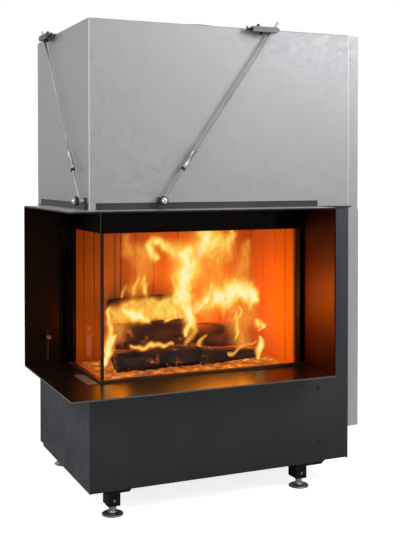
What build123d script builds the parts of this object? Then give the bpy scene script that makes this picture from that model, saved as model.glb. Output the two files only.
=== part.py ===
from build123d import *
import math
import os

# A corner fireplace insert: firebox, glass door that lifts up into a sheet-metal housing,
# shadow frame round the corner opening, and a base on four levelling feet.
# While it is built, X runs from the body's left face, Y from its front face to the rear,
# and Z up from the floor. The last step moves it to the middle of its own footprint.
# Sizes are millimetres.

# Body
BODY_WIDTH = 920.0
BASE_DEPTH = 602.0
HOUSING_OVERHANG = 22.0
FLOOR_CLEARANCE = 79.0
BASE_HEIGHT = 319.0
OPENING_HEIGHT = 546.0
HOUSING_HEIGHT = 580.0
SHEET = 2.0

# Shadow frame round the opening
FRAME_PLATE = 5.0
FRAME_LEFT = 92.0
FRAME_FRONT = 126.0
FRAME_REAR = 446.0
RIGHT_BAND = 133.0
LEDGE_LAP = 8.0
FLANGE_HEIGHT = 20.0
FLANGE_CORNER_GAP = 22.0
FLANGE_OVERRUN = 5.0
EDGE_OVERHANG = 8.0
EDGE_PROUD = 4.0
EDGE_STRIP = 18.0
EDGE_STRIP_REAR = 50.0

# Lifting door
GLASS = 4.0
GLASS_INSET_LEFT = 59.0
GLASS_INSET_FRONT = 72.0
CORNER_JOINT = 0.5
CORNER_BEAD = 8.0
BAR_DEPTH = 24.0
TOP_RAIL_HEIGHT = 69.0
TOP_RAIL_WALL = 3.0
BOTTOM_RAIL_HEIGHT = 8.7
BOTTOM_RAIL_WIDTH = 12.0
RAIL_PROUD = 4.0
GLASS_SEAT = 3.0
STILE_SHOW = 13.0
STILE_LAP = 3.0
REAR_STILE_WIDTH = 27.0
REAR_STILE_DEPTH = 12.0
SEAL = 5.7
SEAL_WIDTH = 12.0
RAIL_PIN_RADIUS = 2.5
RAIL_PIN_STAND = 3.0
RAIL_PIN_FRONT_AT = 197.0
RAIL_PIN_SIDE_AT = 149.0

# Clearances
RUN_GAP = 0.3
SHAFT_GAP = 0.05
DOOR_GAP = 4.0
LOOSE_GAP = 1.0

# Door guides and carriages
GUIDE_WIDTH = 24.0
GUIDE_DEPTH = 26.0
GUIDE_WALL = 2.0
GUIDE_GAP = 2.0
GUIDE_LEAD = 12.0
GUIDE_JAMB_GAP = 3.0
GUIDE_TOP_GAP = 10.0
CARRIAGE_HEIGHT = 120.0
ARM = 4.0
ARM_CLEAR = 0.7

# Firebox
WALL = 4.0
DECK_DROP = 32.0
FLOOR_BRICK = 34.0
FIREBOX_RIGHT_INSET = 13.0
LINING_SIDE = 31.0
LINING_BACK = 40.0
LINING_TOP_DROP = 39.0
LINTEL_LAP = 8.0
FIREBOX_RISE = 86.0
DOME_HEIGHT = 220.0
DOME_TOP_SIDE = 230.0
BAFFLE = 30.0
LOWER_BAFFLE_DEPTH = 239.0
UPPER_BAFFLE_DEPTH = 219.0
UPPER_BAFFLE_RISE = 40.0
REST_WIDTH = 15.0
GROOVE_DEPTH = 3.0
GROOVE_WIDTH = 4.0
PANEL_BEVEL = 4.0
BACK_JOINTS = (167.0, 386.0, 558.0)
BACK_GROOVES = (31.0, 70.0, 146.0, 223.0, 292.0, 448.0, 498.0, 618.0, 668.0)
RIGHT_JOINTS = (134.0,)
RIGHT_GROOVES = (59.0, 224.0)
FLOOR_BRICKS_X = 3
FLOOR_BRICKS_Y = 2

# Flue outlet
FLUE_RADIUS = 100.0
FLUE_WALL = 2.0
FLUE_X = 460.0
FLUE_Y = 300.0
FLUE_RISE = 36.0
FLUE_SEAT = 8.0
FLUE_SEAT_PLATE = 3.0
FLUE_GAP = 0.5

# Pulleys, cables and counterweights
CABLE_RADIUS = 2.0
PULLEY_DROP = 60.0
REAR_PULLEY = 43.0
SIDE_PULLEY = 25.0
PULLEY_WIDTH = 10.0
PULLEY_LIP = 4.0
PULLEY_SIDE_GAP = 0.5
GROOVE_HALF = 3.0
AXLE_RADIUS = 5.0
EAR = 3.0
EAR_WIDTH = 26.0
EAR_BELOW_AXLE = 13.0
HANGER_TOP = 4.0
WEIGHT_HEIGHT = 450.0
WEIGHT_GAP = 15.0
REAR_WEIGHT_SIDE = 44.0
SIDE_WEIGHT_WIDTH = 28.0
SIDE_WEIGHT_DEPTH = 62.0
EYE_HEIGHT = 8.0
EYE_RADIUS = 5.0
WINDOW_MARGIN = 6.0

# Casing of the right counterweight
CASING_WIDTH = 47.0
CASING_FRONT = 15.0
CASING_DEPTH = 200.0
CASING_BOTTOM = 184.0
CASING_STEP = 3.0
CASING_STEP_LEVEL = 930.0

# Base details
FLOOR_PLATE_RISE = 18.0
FLOOR_PLATE = 3.0
SPINDLE_HOLE = 9.0
SIDE_EDGE_RISE = 7.5
SIDE_EDGE_LENGTH = 40.0
FRONT_EDGE_RISE = 4.0
FRONT_EDGE_LENGTH = 93.0
SIDE_PANEL_GAP = 24.0
SCREW_RADIUS = 5.0
SCREW_HEAD = 3.0
FRONT_SCREW_X = 804.0
FRONT_SCREW_LOW = 154.0
FRONT_SCREW_HIGH = 330.0
SIDE_SCREW_Y = 504.0
SIDE_SCREW_Z = 155.0

# Levelling feet and their brackets
FOOT_LEFT_X = 81.0
FOOT_RIGHT_X = 741.0
FOOT_INSET = 24.0
FOOT_RADIUS = 34.0
FOOT_DISC = 6.0
FOOT_BEVEL = 2.5
FOOT_HUB_RADIUS = 13.0
FOOT_GAP = 0.2
SPINDLE_RADIUS = 7.0
SPINDLE_TOP = 150.0
BRACKET_DROP = 49.0
BRACKET_WIDTH = 39.0
BRACKET_DEPTH = 55.0
BRACKET_WALL = 4.0
BRACKET_SETBACK = 5.0
TAB_WIDTH = 90.0
TAB_DEPTH = 34.0
TAB_DROP = 9.0
TAB_BEVEL = 7.0
TAB_LEFT_FOOT = 34.0
TAB_RIGHT_FOOT = 5.0
BRACKET_BOLT_RADIUS = 4.0
BRACKET_BOLT_DROP = 32.0

# Combustion air
SPIGOT_RADIUS = 75.0
SPIGOT_WALL = 2.0
SPIGOT_X = 135.0
SPIGOT_Z = 250.0
SPIGOT_PAST_FLAP = 37.9
SPIGOT_OUTSIDE = 60.0
SPIGOT_FLANGE = 20.0
SPIGOT_FLANGE_PLATE = 3.0
SPIGOT_GAP = 0.5
FLAP = 2.0
FLAP_GAP = 0.8
FLAP_SHAFT_RADIUS = 4.0
FLAP_SHAFT_PAST = 8.0
LEVER = 4.0
LEVER_ARM = 60.0
LEVER_HUB_RADIUS = 9.0
LEVER_PIN_RADIUS = 3.0
LEVER_SWING = 0.8
LEVER_GAP = 4.0
KNOB_X = -15.0
KNOB_Z = 492.0
KNOB_RADIUS = 8.0
KNOB_LENGTH = 14.0
KNOB_STAND = 8.0
STEM_RADIUS = 4.0
SLOT_WIDTH = 9.0
SLOT_LOW = 408.0
SLOT_HIGH = 518.0
SLOT_END = 10.0
SLIDER_GAP = 2.0
SLIDER_DEPTH = 8.0
SLIDER_HEIGHT = 12.0
SLIDER_ROD_X = 20.0
EYE_PLATE = 4.0
EYE_SLACK = 2.5
EYE_RIM = 6.0
DECK_HOLE_GAP = 1.0

# Turnbuckle struts
STRUT_OFFSET = 18.0
STRUT_FOOT_RISE = 26.0
STRUT_HEAD_DROP = 13.0
STRUT_TIP = 43.0
FRONT_STRUT_LOW = 232.0
FRONT_STRUT_HIGH = 611.0
LEFT_STRUT_LOW = 36.0
LEFT_STRUT_HIGH = 457.0
ROD_RADIUS = 4.0
ROD_EYE_RADIUS = 8.0
ROD_END_GAP = 10.0
SLEEVE_RADIUS = 7.5
SLEEVE_LENGTH = 70.0
SLEEVE_FROM_EYE = 125.0
BOLT_RADIUS = 4.0
STRUT_KNOB_RADIUS = 14.5
STRUT_KNOB_LENGTH = 12.0
DOME_NUT_RADIUS = 10.5
SPACER_RADIUS = 7.0
LUG = 3.0
LUG_WIDTH = 22.0
LUG_ABOVE = 10.0
CLAMP_LENGTH = 96.0
CLAMP_THICK = 28.0
CLAMP_TONGUE = 4.0
CLAMP_LAP = 20.0
CLAMP_PAST_ROD = 25.0
CLAMP_BORE_GAP = 0.3
CLAMP_BEVEL = 7.0
WING_STUD = 17.0
WING_SPAN = 14.0
WING_PLATE = 4.0
WING_TILT = 35.0
CLAMP_SCREW_RADIUS = 5.0
CLAMP_SCREW_HEIGHT = 9.0
CLAMP_SCREW_TOP_AT = 24.0
CLAMP_SCREW_LOW_AT = 34.0

# Blank plate on the ledge
TAG = 1.0
TAG_X = 15.5
TAG_Y = 70.0
TAG_WIDTH = 36.0
TAG_LENGTH = 150.0

# Levels
Z_BASE = FLOOR_CLEARANCE
Z_LEDGE = Z_BASE + BASE_HEIGHT
Z_PLATE = Z_LEDGE + OPENING_HEIGHT
Z_TOP = Z_PLATE + HOUSING_HEIGHT
Z_LEDGE_UNDER = Z_LEDGE - FRAME_PLATE
Z_PLATE_UNDER = Z_PLATE - FRAME_PLATE
Z_LID = Z_TOP - SHEET
Z_DECK = Z_LEDGE - DECK_DROP
Z_FLOOR_PLATE = Z_BASE + FLOOR_PLATE_RISE
Z_BRACKET = Z_BASE - BRACKET_DROP
Z_DOOR = Z_LEDGE + RUN_GAP
Z_GLASS = Z_DOOR + GLASS_SEAT
Z_BOTTOM_RAIL = Z_DOOR + BOTTOM_RAIL_HEIGHT
Z_DOOR_TOP = Z_PLATE_UNDER - DOOR_GAP
Z_TOP_RAIL = Z_DOOR_TOP - TOP_RAIL_HEIGHT
Z_LINTEL = Z_TOP_RAIL + LINTEL_LAP
Z_LINING = Z_PLATE - LINING_TOP_DROP
Z_FIREBOX = Z_PLATE + FIREBOX_RISE
Z_DOME = Z_FIREBOX + DOME_HEIGHT
Z_UPPER_BAFFLE = Z_PLATE + UPPER_BAFFLE_RISE
Z_PULLEY = Z_LID - PULLEY_DROP
Z_GUIDE = Z_PULLEY - REAR_PULLEY - PULLEY_LIP - GUIDE_TOP_GAP
Z_WEIGHT = Z_PULLEY - REAR_PULLEY - PULLEY_LIP - WEIGHT_GAP
Z_CARRIAGE = Z_DOOR_TOP - DOOR_GAP
Z_CLAMP = Z_TOP - STRUT_HEAD_DROP
Z_STRUT = Z_PLATE + STRUT_FOOT_RISE
CLAMP_HEIGHT = STRUT_HEAD_DROP + CLAMP_TONGUE

# Planes of the frame, the door and the firebox
REVEAL_X = BODY_WIDTH - RIGHT_BAND
REVEAL_OUT = REVEAL_X + FRAME_PLATE
PANEL_REAR = FRAME_REAR + FRAME_PLATE
RIGHT_IN = BODY_WIDTH - SHEET
BASE_IN = BASE_DEPTH - SHEET
HOUSING_DEPTH = BASE_DEPTH + HOUSING_OVERHANG
HOUSING_IN = HOUSING_DEPTH - SHEET
GLASS_X = GLASS_INSET_LEFT + GLASS
GLASS_Y = GLASS_INSET_FRONT + GLASS
RAIL_X0 = GLASS_INSET_LEFT - RAIL_PROUD
RAIL_Y0 = GLASS_INSET_FRONT - RAIL_PROUD
RAIL_X1 = RAIL_X0 + BOTTOM_RAIL_WIDTH
RAIL_Y1 = RAIL_Y0 + BOTTOM_RAIL_WIDTH
FRAME_IN_X = RAIL_X0 - DOOR_GAP
FRAME_IN_Y = RAIL_Y0 - DOOR_GAP
LEDGE_IN_X = RAIL_X1 + LEDGE_LAP
LEDGE_IN_Y = RAIL_Y1 + LEDGE_LAP
BAR_X = GLASS_X + BAR_DEPTH
BAR_Y = GLASS_Y + BAR_DEPTH
JAMB_X = BAR_X + SEAL + RUN_GAP
JAMB_Y = BAR_Y + SEAL + RUN_GAP
STILE_X0 = REVEAL_X - STILE_SHOW
STILE_X1 = REVEAL_X + STILE_LAP
REAR_GUIDE_Y = FRAME_REAR - GUIDE_LEAD
REAR_STILE_Y1 = REAR_GUIDE_Y - GUIDE_LEAD
REAR_STILE_Y0 = REAR_STILE_Y1 - REAR_STILE_WIDTH
REAR_STILE_X1 = GLASS_X + REAR_STILE_DEPTH
REAR_JAMB_Y = REAR_STILE_Y1 + SEAL + RUN_GAP
LEFT_WALL_X = REAR_STILE_X1 + WALL
FIREBOX_RIGHT = REVEAL_X + FIREBOX_RIGHT_INSET
LINING_RIGHT = FIREBOX_RIGHT - LOOSE_GAP - LINING_SIDE
LINING_REAR = REAR_JAMB_Y + LOOSE_GAP
FIREBOX_BACK = LINING_REAR + LINING_BACK + LOOSE_GAP

# Door guides and what hangs over them
SIDE_GUIDE_X = STILE_X1 + GUIDE_GAP
SIDE_GUIDE_Y = JAMB_Y - GUIDE_JAMB_GAP - GUIDE_WIDTH / 2
REAR_ARM_X = FRAME_IN_X + ARM_CLEAR
REAR_GUIDE_X = REAR_ARM_X + ARM + RUN_GAP + GUIDE_WALL - GUIDE_WIDTH / 2
REAR_PANEL_END = REAR_GUIDE_X - GUIDE_WIDTH / 2 - GUIDE_JAMB_GAP
SIDE_CABLE_X = SIDE_GUIDE_X + GUIDE_DEPTH / 2
REAR_CABLE_Y = REAR_GUIDE_Y + GUIDE_DEPTH / 2
REAR_PULLEY_Y = REAR_CABLE_Y + REAR_PULLEY
REAR_WEIGHT_Y = REAR_PULLEY_Y + REAR_PULLEY
SIDE_WEIGHT_X = BODY_WIDTH + (CASING_WIDTH - SHEET) / 2
INNER_PULLEY_X = SIDE_CABLE_X + SIDE_PULLEY
OUTER_PULLEY_X = SIDE_WEIGHT_X - SIDE_PULLEY
EAR_AT = PULLEY_WIDTH / 2 + PULLEY_SIDE_GAP

# Air slider, lever and flap at rest
KNOB_MIDDLE = (SLOT_LOW + SLOT_HIGH) / 2
KNOB_TRAVEL = (SLOT_HIGH - SLOT_LOW) / 2 - SLOT_END
LEVER_ANGLE = (KNOB_Z - KNOB_MIDDLE) * LEVER_SWING / KNOB_TRAVEL
SLIDER_Y0 = PANEL_REAR + SLIDER_GAP
SLIDER_Y1 = SLIDER_Y0 + SLIDER_DEPTH
SLIDER_ROD_Y = (SLIDER_Y0 + SLIDER_Y1) / 2
PIN_SWEEP = LEVER_ARM * (1 - math.cos(LEVER_SWING))
FLAP_Y = SLIDER_ROD_Y + LEVER_ARM - PIN_SWEEP / 2
LEVER_X = SLIDER_ROD_X + EYE_PLATE / 2 + LEVER_GAP
SPIGOT_Y0 = FLAP_Y - SPIGOT_PAST_FLAP
SPIGOT_Y1 = BASE_DEPTH + SPIGOT_OUTSIDE

FEET = {
    "front_left": (FOOT_LEFT_X, FOOT_INSET),
    "front_right": (FOOT_RIGHT_X, FOOT_INSET),
    "rear_left": (FOOT_LEFT_X, BASE_DEPTH - FOOT_INSET),
    "rear_right": (FOOT_RIGHT_X, BASE_DEPTH - FOOT_INSET),
}

# Swaps the front face with the left face
CORNER_PLANE = Plane(origin=(0, 0, 0), z_dir=(1, -1, 0))

# The origin: middle of the footprint, on the floor
X_MIDDLE = (BODY_WIDTH + CASING_WIDTH + CASING_STEP - FRAME_LEFT) / 2
Y_MIDDLE = (SPIGOT_Y1 - FRAME_FRONT) / 2


def block(x0, x1, y0, y1, z0, z1):
    """A box between two corners."""
    middle = Pos((x0 + x1) / 2, (y0 + y1) / 2, (z0 + z1) / 2)
    return middle * Box(x1 - x0, y1 - y0, z1 - z0)


def bar_x(x0, x1, y, z, radius):
    """A round bar along X."""
    return Pos((x0 + x1) / 2, y, z) * Rot(0, 90, 0) * Cylinder(radius, x1 - x0)


def bar_y(y0, y1, x, z, radius):
    """A round bar along Y."""
    return Pos(x, (y0 + y1) / 2, z) * Rot(90, 0, 0) * Cylinder(radius, y1 - y0)


def bar_z(z0, z1, x, y, radius):
    """A round bar along Z."""
    return Pos(x, y, (z0 + z1) / 2) * Cylinder(radius, z1 - z0)


def housing_sheets():
    """The five galvanised sheets of the upper housing."""
    front = block(0, BODY_WIDTH, 0, SHEET, Z_PLATE, Z_LID)
    left = block(0, SHEET, SHEET, HOUSING_IN, Z_PLATE, Z_LID)
    right = block(RIGHT_IN, BODY_WIDTH, SHEET, HOUSING_IN, Z_PLATE, Z_LID)
    reach = EAR_AT + EAR + WINDOW_MARGIN
    low = Z_PULLEY - SIDE_PULLEY - PULLEY_LIP - WINDOW_MARGIN
    window = block(RIGHT_IN, BODY_WIDTH, SIDE_GUIDE_Y - reach, SIDE_GUIDE_Y + reach, low, Z_LID)
    rear = block(0, BODY_WIDTH, HOUSING_IN, HOUSING_DEPTH, Z_PLATE, Z_LID)
    top = block(0, BODY_WIDTH, 0, HOUSING_DEPTH, Z_LID, Z_TOP)
    flue = bar_z(Z_LID, Z_TOP, FLUE_X, FLUE_Y, FLUE_RADIUS + FLUE_WALL + FLUE_GAP)
    return {
        "housing_front_sheet": front,
        "housing_left_sheet": left,
        "housing_right_sheet": right - window,
        "housing_rear_sheet": rear,
        "housing_top_sheet": top - flue,
    }


def weight_casing():
    """Folded casing on the right, open towards the body, a little wider lower down."""
    rear = CASING_FRONT + CASING_DEPTH
    upper_x = BODY_WIDTH + CASING_WIDTH
    lower_x = upper_x + CASING_STEP
    outside = block(BODY_WIDTH, upper_x, CASING_FRONT, rear, CASING_BOTTOM, Z_TOP)
    outside += block(BODY_WIDTH, lower_x, CASING_FRONT, rear, CASING_BOTTOM, CASING_STEP_LEVEL)
    y0 = CASING_FRONT + SHEET
    y1 = rear - SHEET
    z0 = CASING_BOTTOM + SHEET
    inside = block(BODY_WIDTH, upper_x - SHEET, y0, y1, z0, Z_LID)
    inside += block(BODY_WIDTH, lower_x - SHEET, y0, y1, z0, CASING_STEP_LEVEL - SHEET)
    return outside - inside


def frame_plates():
    """Top plate, ledge, right reveal and slotted rear panel of the shadow frame."""
    top = block(-FRAME_LEFT, REVEAL_OUT, -FRAME_FRONT, PANEL_REAR, Z_PLATE_UNDER, Z_PLATE)
    top -= block(FRAME_IN_X, REVEAL_OUT, FRAME_IN_Y, PANEL_REAR, Z_PLATE_UNDER, Z_PLATE)
    notch_y = REAR_STILE_Y1 + DOOR_GAP
    top -= block(REAR_PANEL_END, FRAME_IN_X, notch_y, PANEL_REAR, Z_PLATE_UNDER, Z_PLATE)

    ledge = block(-FRAME_LEFT, REVEAL_OUT, -FRAME_FRONT, PANEL_REAR, Z_LEDGE_UNDER, Z_LEDGE)
    ledge -= block(LEDGE_IN_X, REVEAL_OUT, LEDGE_IN_Y, PANEL_REAR, Z_LEDGE_UNDER, Z_LEDGE)
    jamb_y = REAR_JAMB_Y - LOOSE_GAP
    ledge -= block(GLASS_X - LOOSE_GAP, LEDGE_IN_X, jamb_y, PANEL_REAR, Z_LEDGE_UNDER, Z_LEDGE)
    guide_y = SIDE_GUIDE_Y - GUIDE_WIDTH / 2 - LOOSE_GAP
    ledge -= block(STILE_X1, REVEAL_OUT, guide_y, LEDGE_IN_Y, Z_LEDGE_UNDER, Z_LEDGE)

    reveal = block(REVEAL_X, REVEAL_OUT, -FRAME_FRONT, FRAME_IN_Y, Z_LEDGE, Z_PLATE_UNDER)

    panel = block(-FRAME_LEFT, REAR_PANEL_END, FRAME_REAR, PANEL_REAR, Z_LEDGE, Z_PLATE_UNDER)
    half = SLOT_WIDTH / 2
    slot = block(KNOB_X - half, KNOB_X + half, FRAME_REAR, PANEL_REAR,
                 SLOT_LOW + half, SLOT_HIGH - half)
    slot += bar_y(FRAME_REAR, PANEL_REAR, KNOB_X, SLOT_LOW + half, half)
    slot += bar_y(FRAME_REAR, PANEL_REAR, KNOB_X, SLOT_HIGH - half, half)
    return {
        "frame_top_plate": top,
        "frame_ledge": ledge,
        "frame_right_reveal": reveal,
        "frame_rear_panel": panel - slot,
    }


def strut_lug(at):
    """Ear on the front's upright flange that carries the lower end of a strut."""
    half = LUG_WIDTH / 2
    return block(at - half, at + half, -SHEET - LUG, -SHEET, Z_PLATE, Z_STRUT + LUG_ABOVE)


def edge_flanges():
    """Upright flanges on the frame and the flat top flange of the lower body."""
    z1 = Z_PLATE + FLANGE_HEIGHT
    end_x = REVEAL_OUT + FLANGE_OVERRUN
    strip_y = HOUSING_IN - EDGE_STRIP_REAR
    front = block(FLANGE_CORNER_GAP, end_x, -SHEET, 0, Z_PLATE, z1)
    left = block(-SHEET, 0, FLANGE_OVERRUN, strip_y, Z_PLATE, z1)
    front += strut_lug(FRONT_STRUT_LOW)
    left += mirror(strut_lug(LEFT_STRUT_LOW), CORNER_PLANE)
    flat = block(REVEAL_OUT, BODY_WIDTH + EDGE_OVERHANG, -EDGE_PROUD,
                 CASING_FRONT - LOOSE_GAP, Z_PLATE_UNDER, Z_PLATE)
    flat += block(RIGHT_IN - EDGE_STRIP, BODY_WIDTH, 0, strip_y, Z_PLATE_UNDER, Z_PLATE)
    flat += block(0, BODY_WIDTH, strip_y, HOUSING_DEPTH, Z_PLATE_UNDER, Z_PLATE)
    flat += block(-EDGE_OVERHANG, EDGE_STRIP, PANEL_REAR, strip_y, Z_PLATE_UNDER, Z_PLATE)
    return Compound([front, left, flat])


def base_panels():
    """Skirts, floor plate and firebox deck of the lower body."""
    front = block(0, BODY_WIDTH, 0, SHEET, Z_BASE, Z_LEDGE_UNDER)
    front += block(REVEAL_OUT, BODY_WIDTH, 0, SHEET, Z_LEDGE_UNDER, Z_PLATE_UNDER)
    front -= block(BODY_WIDTH - FRONT_EDGE_LENGTH, BODY_WIDTH, 0, SHEET,
                   Z_BASE, Z_BASE + FRONT_EDGE_RISE)

    left = block(0, SHEET, SHEET, BASE_IN, Z_BASE, Z_LEDGE_UNDER)
    left += block(0, SHEET, FRAME_REAR + SIDE_PANEL_GAP, BASE_IN, Z_LEDGE_UNDER, Z_PLATE_UNDER)
    left -= block(0, SHEET, BASE_IN - SIDE_EDGE_LENGTH, BASE_IN,
                  Z_BASE, Z_BASE + SIDE_EDGE_RISE)

    right = block(RIGHT_IN, BODY_WIDTH, SHEET, BASE_IN, Z_BASE, Z_PLATE_UNDER)

    rear = block(0, BODY_WIDTH, BASE_IN, BASE_DEPTH, Z_BASE + SIDE_EDGE_RISE, Z_PLATE_UNDER)
    rear -= bar_y(BASE_IN, BASE_DEPTH, SPIGOT_X, SPIGOT_Z, SPIGOT_RADIUS + SPIGOT_GAP)

    floor = block(SHEET, RIGHT_IN, SHEET, BASE_IN, Z_FLOOR_PLATE, Z_FLOOR_PLATE + FLOOR_PLATE)
    for x, y in FEET.values():
        floor -= bar_z(Z_FLOOR_PLATE, Z_FLOOR_PLATE + FLOOR_PLATE, x, y, SPINDLE_HOLE)

    deck = block(SHEET, RIGHT_IN, SHEET, BASE_IN, Z_DECK - WALL, Z_DECK)
    rod_hole = ROD_RADIUS + DECK_HOLE_GAP
    deck -= bar_z(Z_DECK - WALL, Z_DECK, SLIDER_ROD_X, SLIDER_ROD_Y, rod_hole)
    return {
        "base_front_panel": front,
        "base_left_panel": left,
        "base_right_panel": right,
        "base_rear_panel": rear,
        "base_floor_plate": floor,
        "firebox_deck": deck,
    }


def firebox_shell():
    """Steel walls and jambs, the lintels over the opening, and the smoke dome."""
    y1 = FIREBOX_BACK + WALL
    x1 = FIREBOX_RIGHT + WALL
    rear = block(REAR_STILE_X1, x1, FIREBOX_BACK, y1, Z_DECK, Z_FIREBOX)
    left = block(REAR_STILE_X1, LEFT_WALL_X, REAR_JAMB_Y, FIREBOX_BACK, Z_DECK, Z_FIREBOX)
    left += block(GLASS_X + RUN_GAP, LEFT_WALL_X, REAR_JAMB_Y, REAR_JAMB_Y + WALL,
                  Z_DECK, Z_FIREBOX)
    right = block(FIREBOX_RIGHT, x1, JAMB_Y, FIREBOX_BACK, Z_DECK, Z_FIREBOX)
    jamb_x = STILE_X1 - SEAL_WIDTH
    jamb = block(jamb_x, FIREBOX_RIGHT, JAMB_Y, JAMB_Y + WALL, Z_DECK, Z_LINTEL)
    rest_y0 = JAMB_Y + WALL + LOOSE_GAP
    rest_y1 = rest_y0 + UPPER_BAFFLE_DEPTH
    rest_z = Z_UPPER_BAFFLE - WALL
    lintel_x = JAMB_X + WALL
    rests = [
        block(lintel_x, lintel_x + REST_WIDTH, rest_y0, rest_y1, rest_z, Z_UPPER_BAFFLE),
        block(FIREBOX_RIGHT - REST_WIDTH, FIREBOX_RIGHT, rest_y0, rest_y1, rest_z, Z_UPPER_BAFFLE),
    ]
    front_lintel = block(JAMB_X, FIREBOX_RIGHT, JAMB_Y, JAMB_Y + WALL, Z_LINTEL, Z_FIREBOX)
    return_y = REAR_JAMB_Y - WALL
    left_lintel = block(JAMB_X, lintel_x, JAMB_Y + WALL, return_y, Z_LINTEL, Z_FIREBOX)
    corner = block(LEFT_WALL_X, lintel_x, return_y, REAR_JAMB_Y, Z_LINTEL, Z_FIREBOX)
    return {
        "firebox_walls": Compound([rear, left, right, jamb] + rests),
        "firebox_lintels": Compound([front_lintel, left_lintel, corner]),
        "smoke_dome": smoke_dome(),
    }


def smoke_dome():
    """Tapered hood over the firebox with a flat top round the flue outlet."""
    low_x0, low_x1 = JAMB_X, FIREBOX_RIGHT + WALL
    low_y0, low_y1 = JAMB_Y, FIREBOX_BACK + WALL
    width, depth = low_x1 - low_x0, low_y1 - low_y0
    middle = Pos((low_x0 + low_x1) / 2, (low_y0 + low_y1) / 2, Z_FIREBOX)
    top_at = Pos(FLUE_X, FLUE_Y, Z_DOME)
    side = DOME_TOP_SIDE
    outside = loft([middle * Rectangle(width, depth), top_at * Rectangle(side, side)], ruled=True)
    thin = 2 * WALL
    inside = loft([middle * Rectangle(width - thin, depth - thin),
                   top_at * Rectangle(side - thin, side - thin)], ruled=True)
    half = side / 2
    lid = block(FLUE_X - half, FLUE_X + half, FLUE_Y - half, FLUE_Y + half, Z_DOME, Z_DOME + WALL)
    hole = FLUE_RADIUS + FLUE_WALL + RUN_GAP
    lid -= bar_z(Z_DOME, Z_DOME + WALL, FLUE_X, FLUE_Y, hole)
    return outside - inside + lid


def flue_collar():
    """Round flue outlet seated on the dome by its flange, up through the housing top."""
    z1 = Z_TOP + FLUE_RISE
    seat = Z_DOME + WALL
    outer = FLUE_RADIUS + FLUE_WALL
    tube = bar_z(Z_DOME, z1, FLUE_X, FLUE_Y, outer)
    tube += bar_z(seat, seat + FLUE_SEAT_PLATE, FLUE_X, FLUE_Y, outer + FLUE_SEAT)
    return tube - bar_z(Z_DOME, z1, FLUE_X, FLUE_Y, FLUE_RADIUS)


def evenly(start, end, count, index):
    """Low and high edge of one of several equal bricks with gaps between."""
    pitch = (end - start + LOOSE_GAP) / count
    low = start + index * pitch
    return low, low + pitch - LOOSE_GAP


def back_lining():
    """Grooved fireclay panels along the rear wall, split at the joints."""
    start = LEFT_WALL_X + LOOSE_GAP
    end = FIREBOX_RIGHT - LOOSE_GAP
    cuts = [start + at for at in BACK_JOINTS]
    grooves = [start + at for at in BACK_GROOVES]
    rear = FIREBOX_BACK - LOOSE_GAP
    panels = []
    for x0, x1 in zip([start] + [x + LOOSE_GAP for x in cuts], cuts + [end]):
        panel = block(x0, x1, LINING_REAR, rear, Z_DECK, Z_LINING)
        panel = chamfer(panel.edges().group_by(Axis.Y)[0], PANEL_BEVEL)
        for x in grooves:
            if x0 < x < x1:
                panel -= block(x - GROOVE_WIDTH / 2, x + GROOVE_WIDTH / 2,
                               LINING_REAR, LINING_REAR + GROOVE_DEPTH, Z_DECK, Z_LINING)
        panels.append(panel)
    return Compound(panels)


def right_lining():
    """Grooved fireclay panels along the right wall, split at the joint."""
    start = JAMB_Y + WALL + LOOSE_GAP
    end = LINING_REAR - LOOSE_GAP
    cuts = [start + at for at in RIGHT_JOINTS]
    grooves = [start + at for at in RIGHT_GROOVES]
    outer = FIREBOX_RIGHT - LOOSE_GAP
    panels = []
    for y0, y1 in zip([start] + [y + LOOSE_GAP for y in cuts], cuts + [end]):
        panel = block(LINING_RIGHT, outer, y0, y1, Z_DECK, Z_LINING)
        panel = chamfer(panel.edges().group_by(Axis.X)[0], PANEL_BEVEL)
        for y in grooves:
            if y0 < y < y1:
                panel -= block(LINING_RIGHT, LINING_RIGHT + GROOVE_DEPTH,
                               y - GROOVE_WIDTH / 2, y + GROOVE_WIDTH / 2, Z_DECK, Z_LINING)
        panels.append(panel)
    return Compound(panels)


def floor_bricks():
    """Bricks on the firebox deck in equal rows."""
    bricks = []
    for i in range(FLOOR_BRICKS_X):
        x0, x1 = evenly(LEDGE_IN_X + LOOSE_GAP, LINING_RIGHT - LOOSE_GAP, FLOOR_BRICKS_X, i)
        for j in range(FLOOR_BRICKS_Y):
            y0, y1 = evenly(LEDGE_IN_Y + LOOSE_GAP, REAR_JAMB_Y - LOOSE_GAP, FLOOR_BRICKS_Y, j)
            bricks.append(block(x0, x1, y0, y1, Z_DECK, Z_DECK + FLOOR_BRICK))
    return Compound(bricks)


def baffle_plates():
    """Two loose baffles: one on top of the linings, one higher up on the rests."""
    x0 = JAMB_X + WALL + LOOSE_GAP
    x1 = FIREBOX_RIGHT - LOOSE_GAP
    rear = FIREBOX_BACK - LOOSE_GAP
    lower = block(x0, x1, rear - LOWER_BAFFLE_DEPTH, rear, Z_LINING, Z_LINING + BAFFLE)
    front = JAMB_Y + WALL + LOOSE_GAP
    upper = block(x0, x1, front, front + UPPER_BAFFLE_DEPTH,
                  Z_UPPER_BAFFLE, Z_UPPER_BAFFLE + BAFFLE)
    return Compound([lower, upper])


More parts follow.
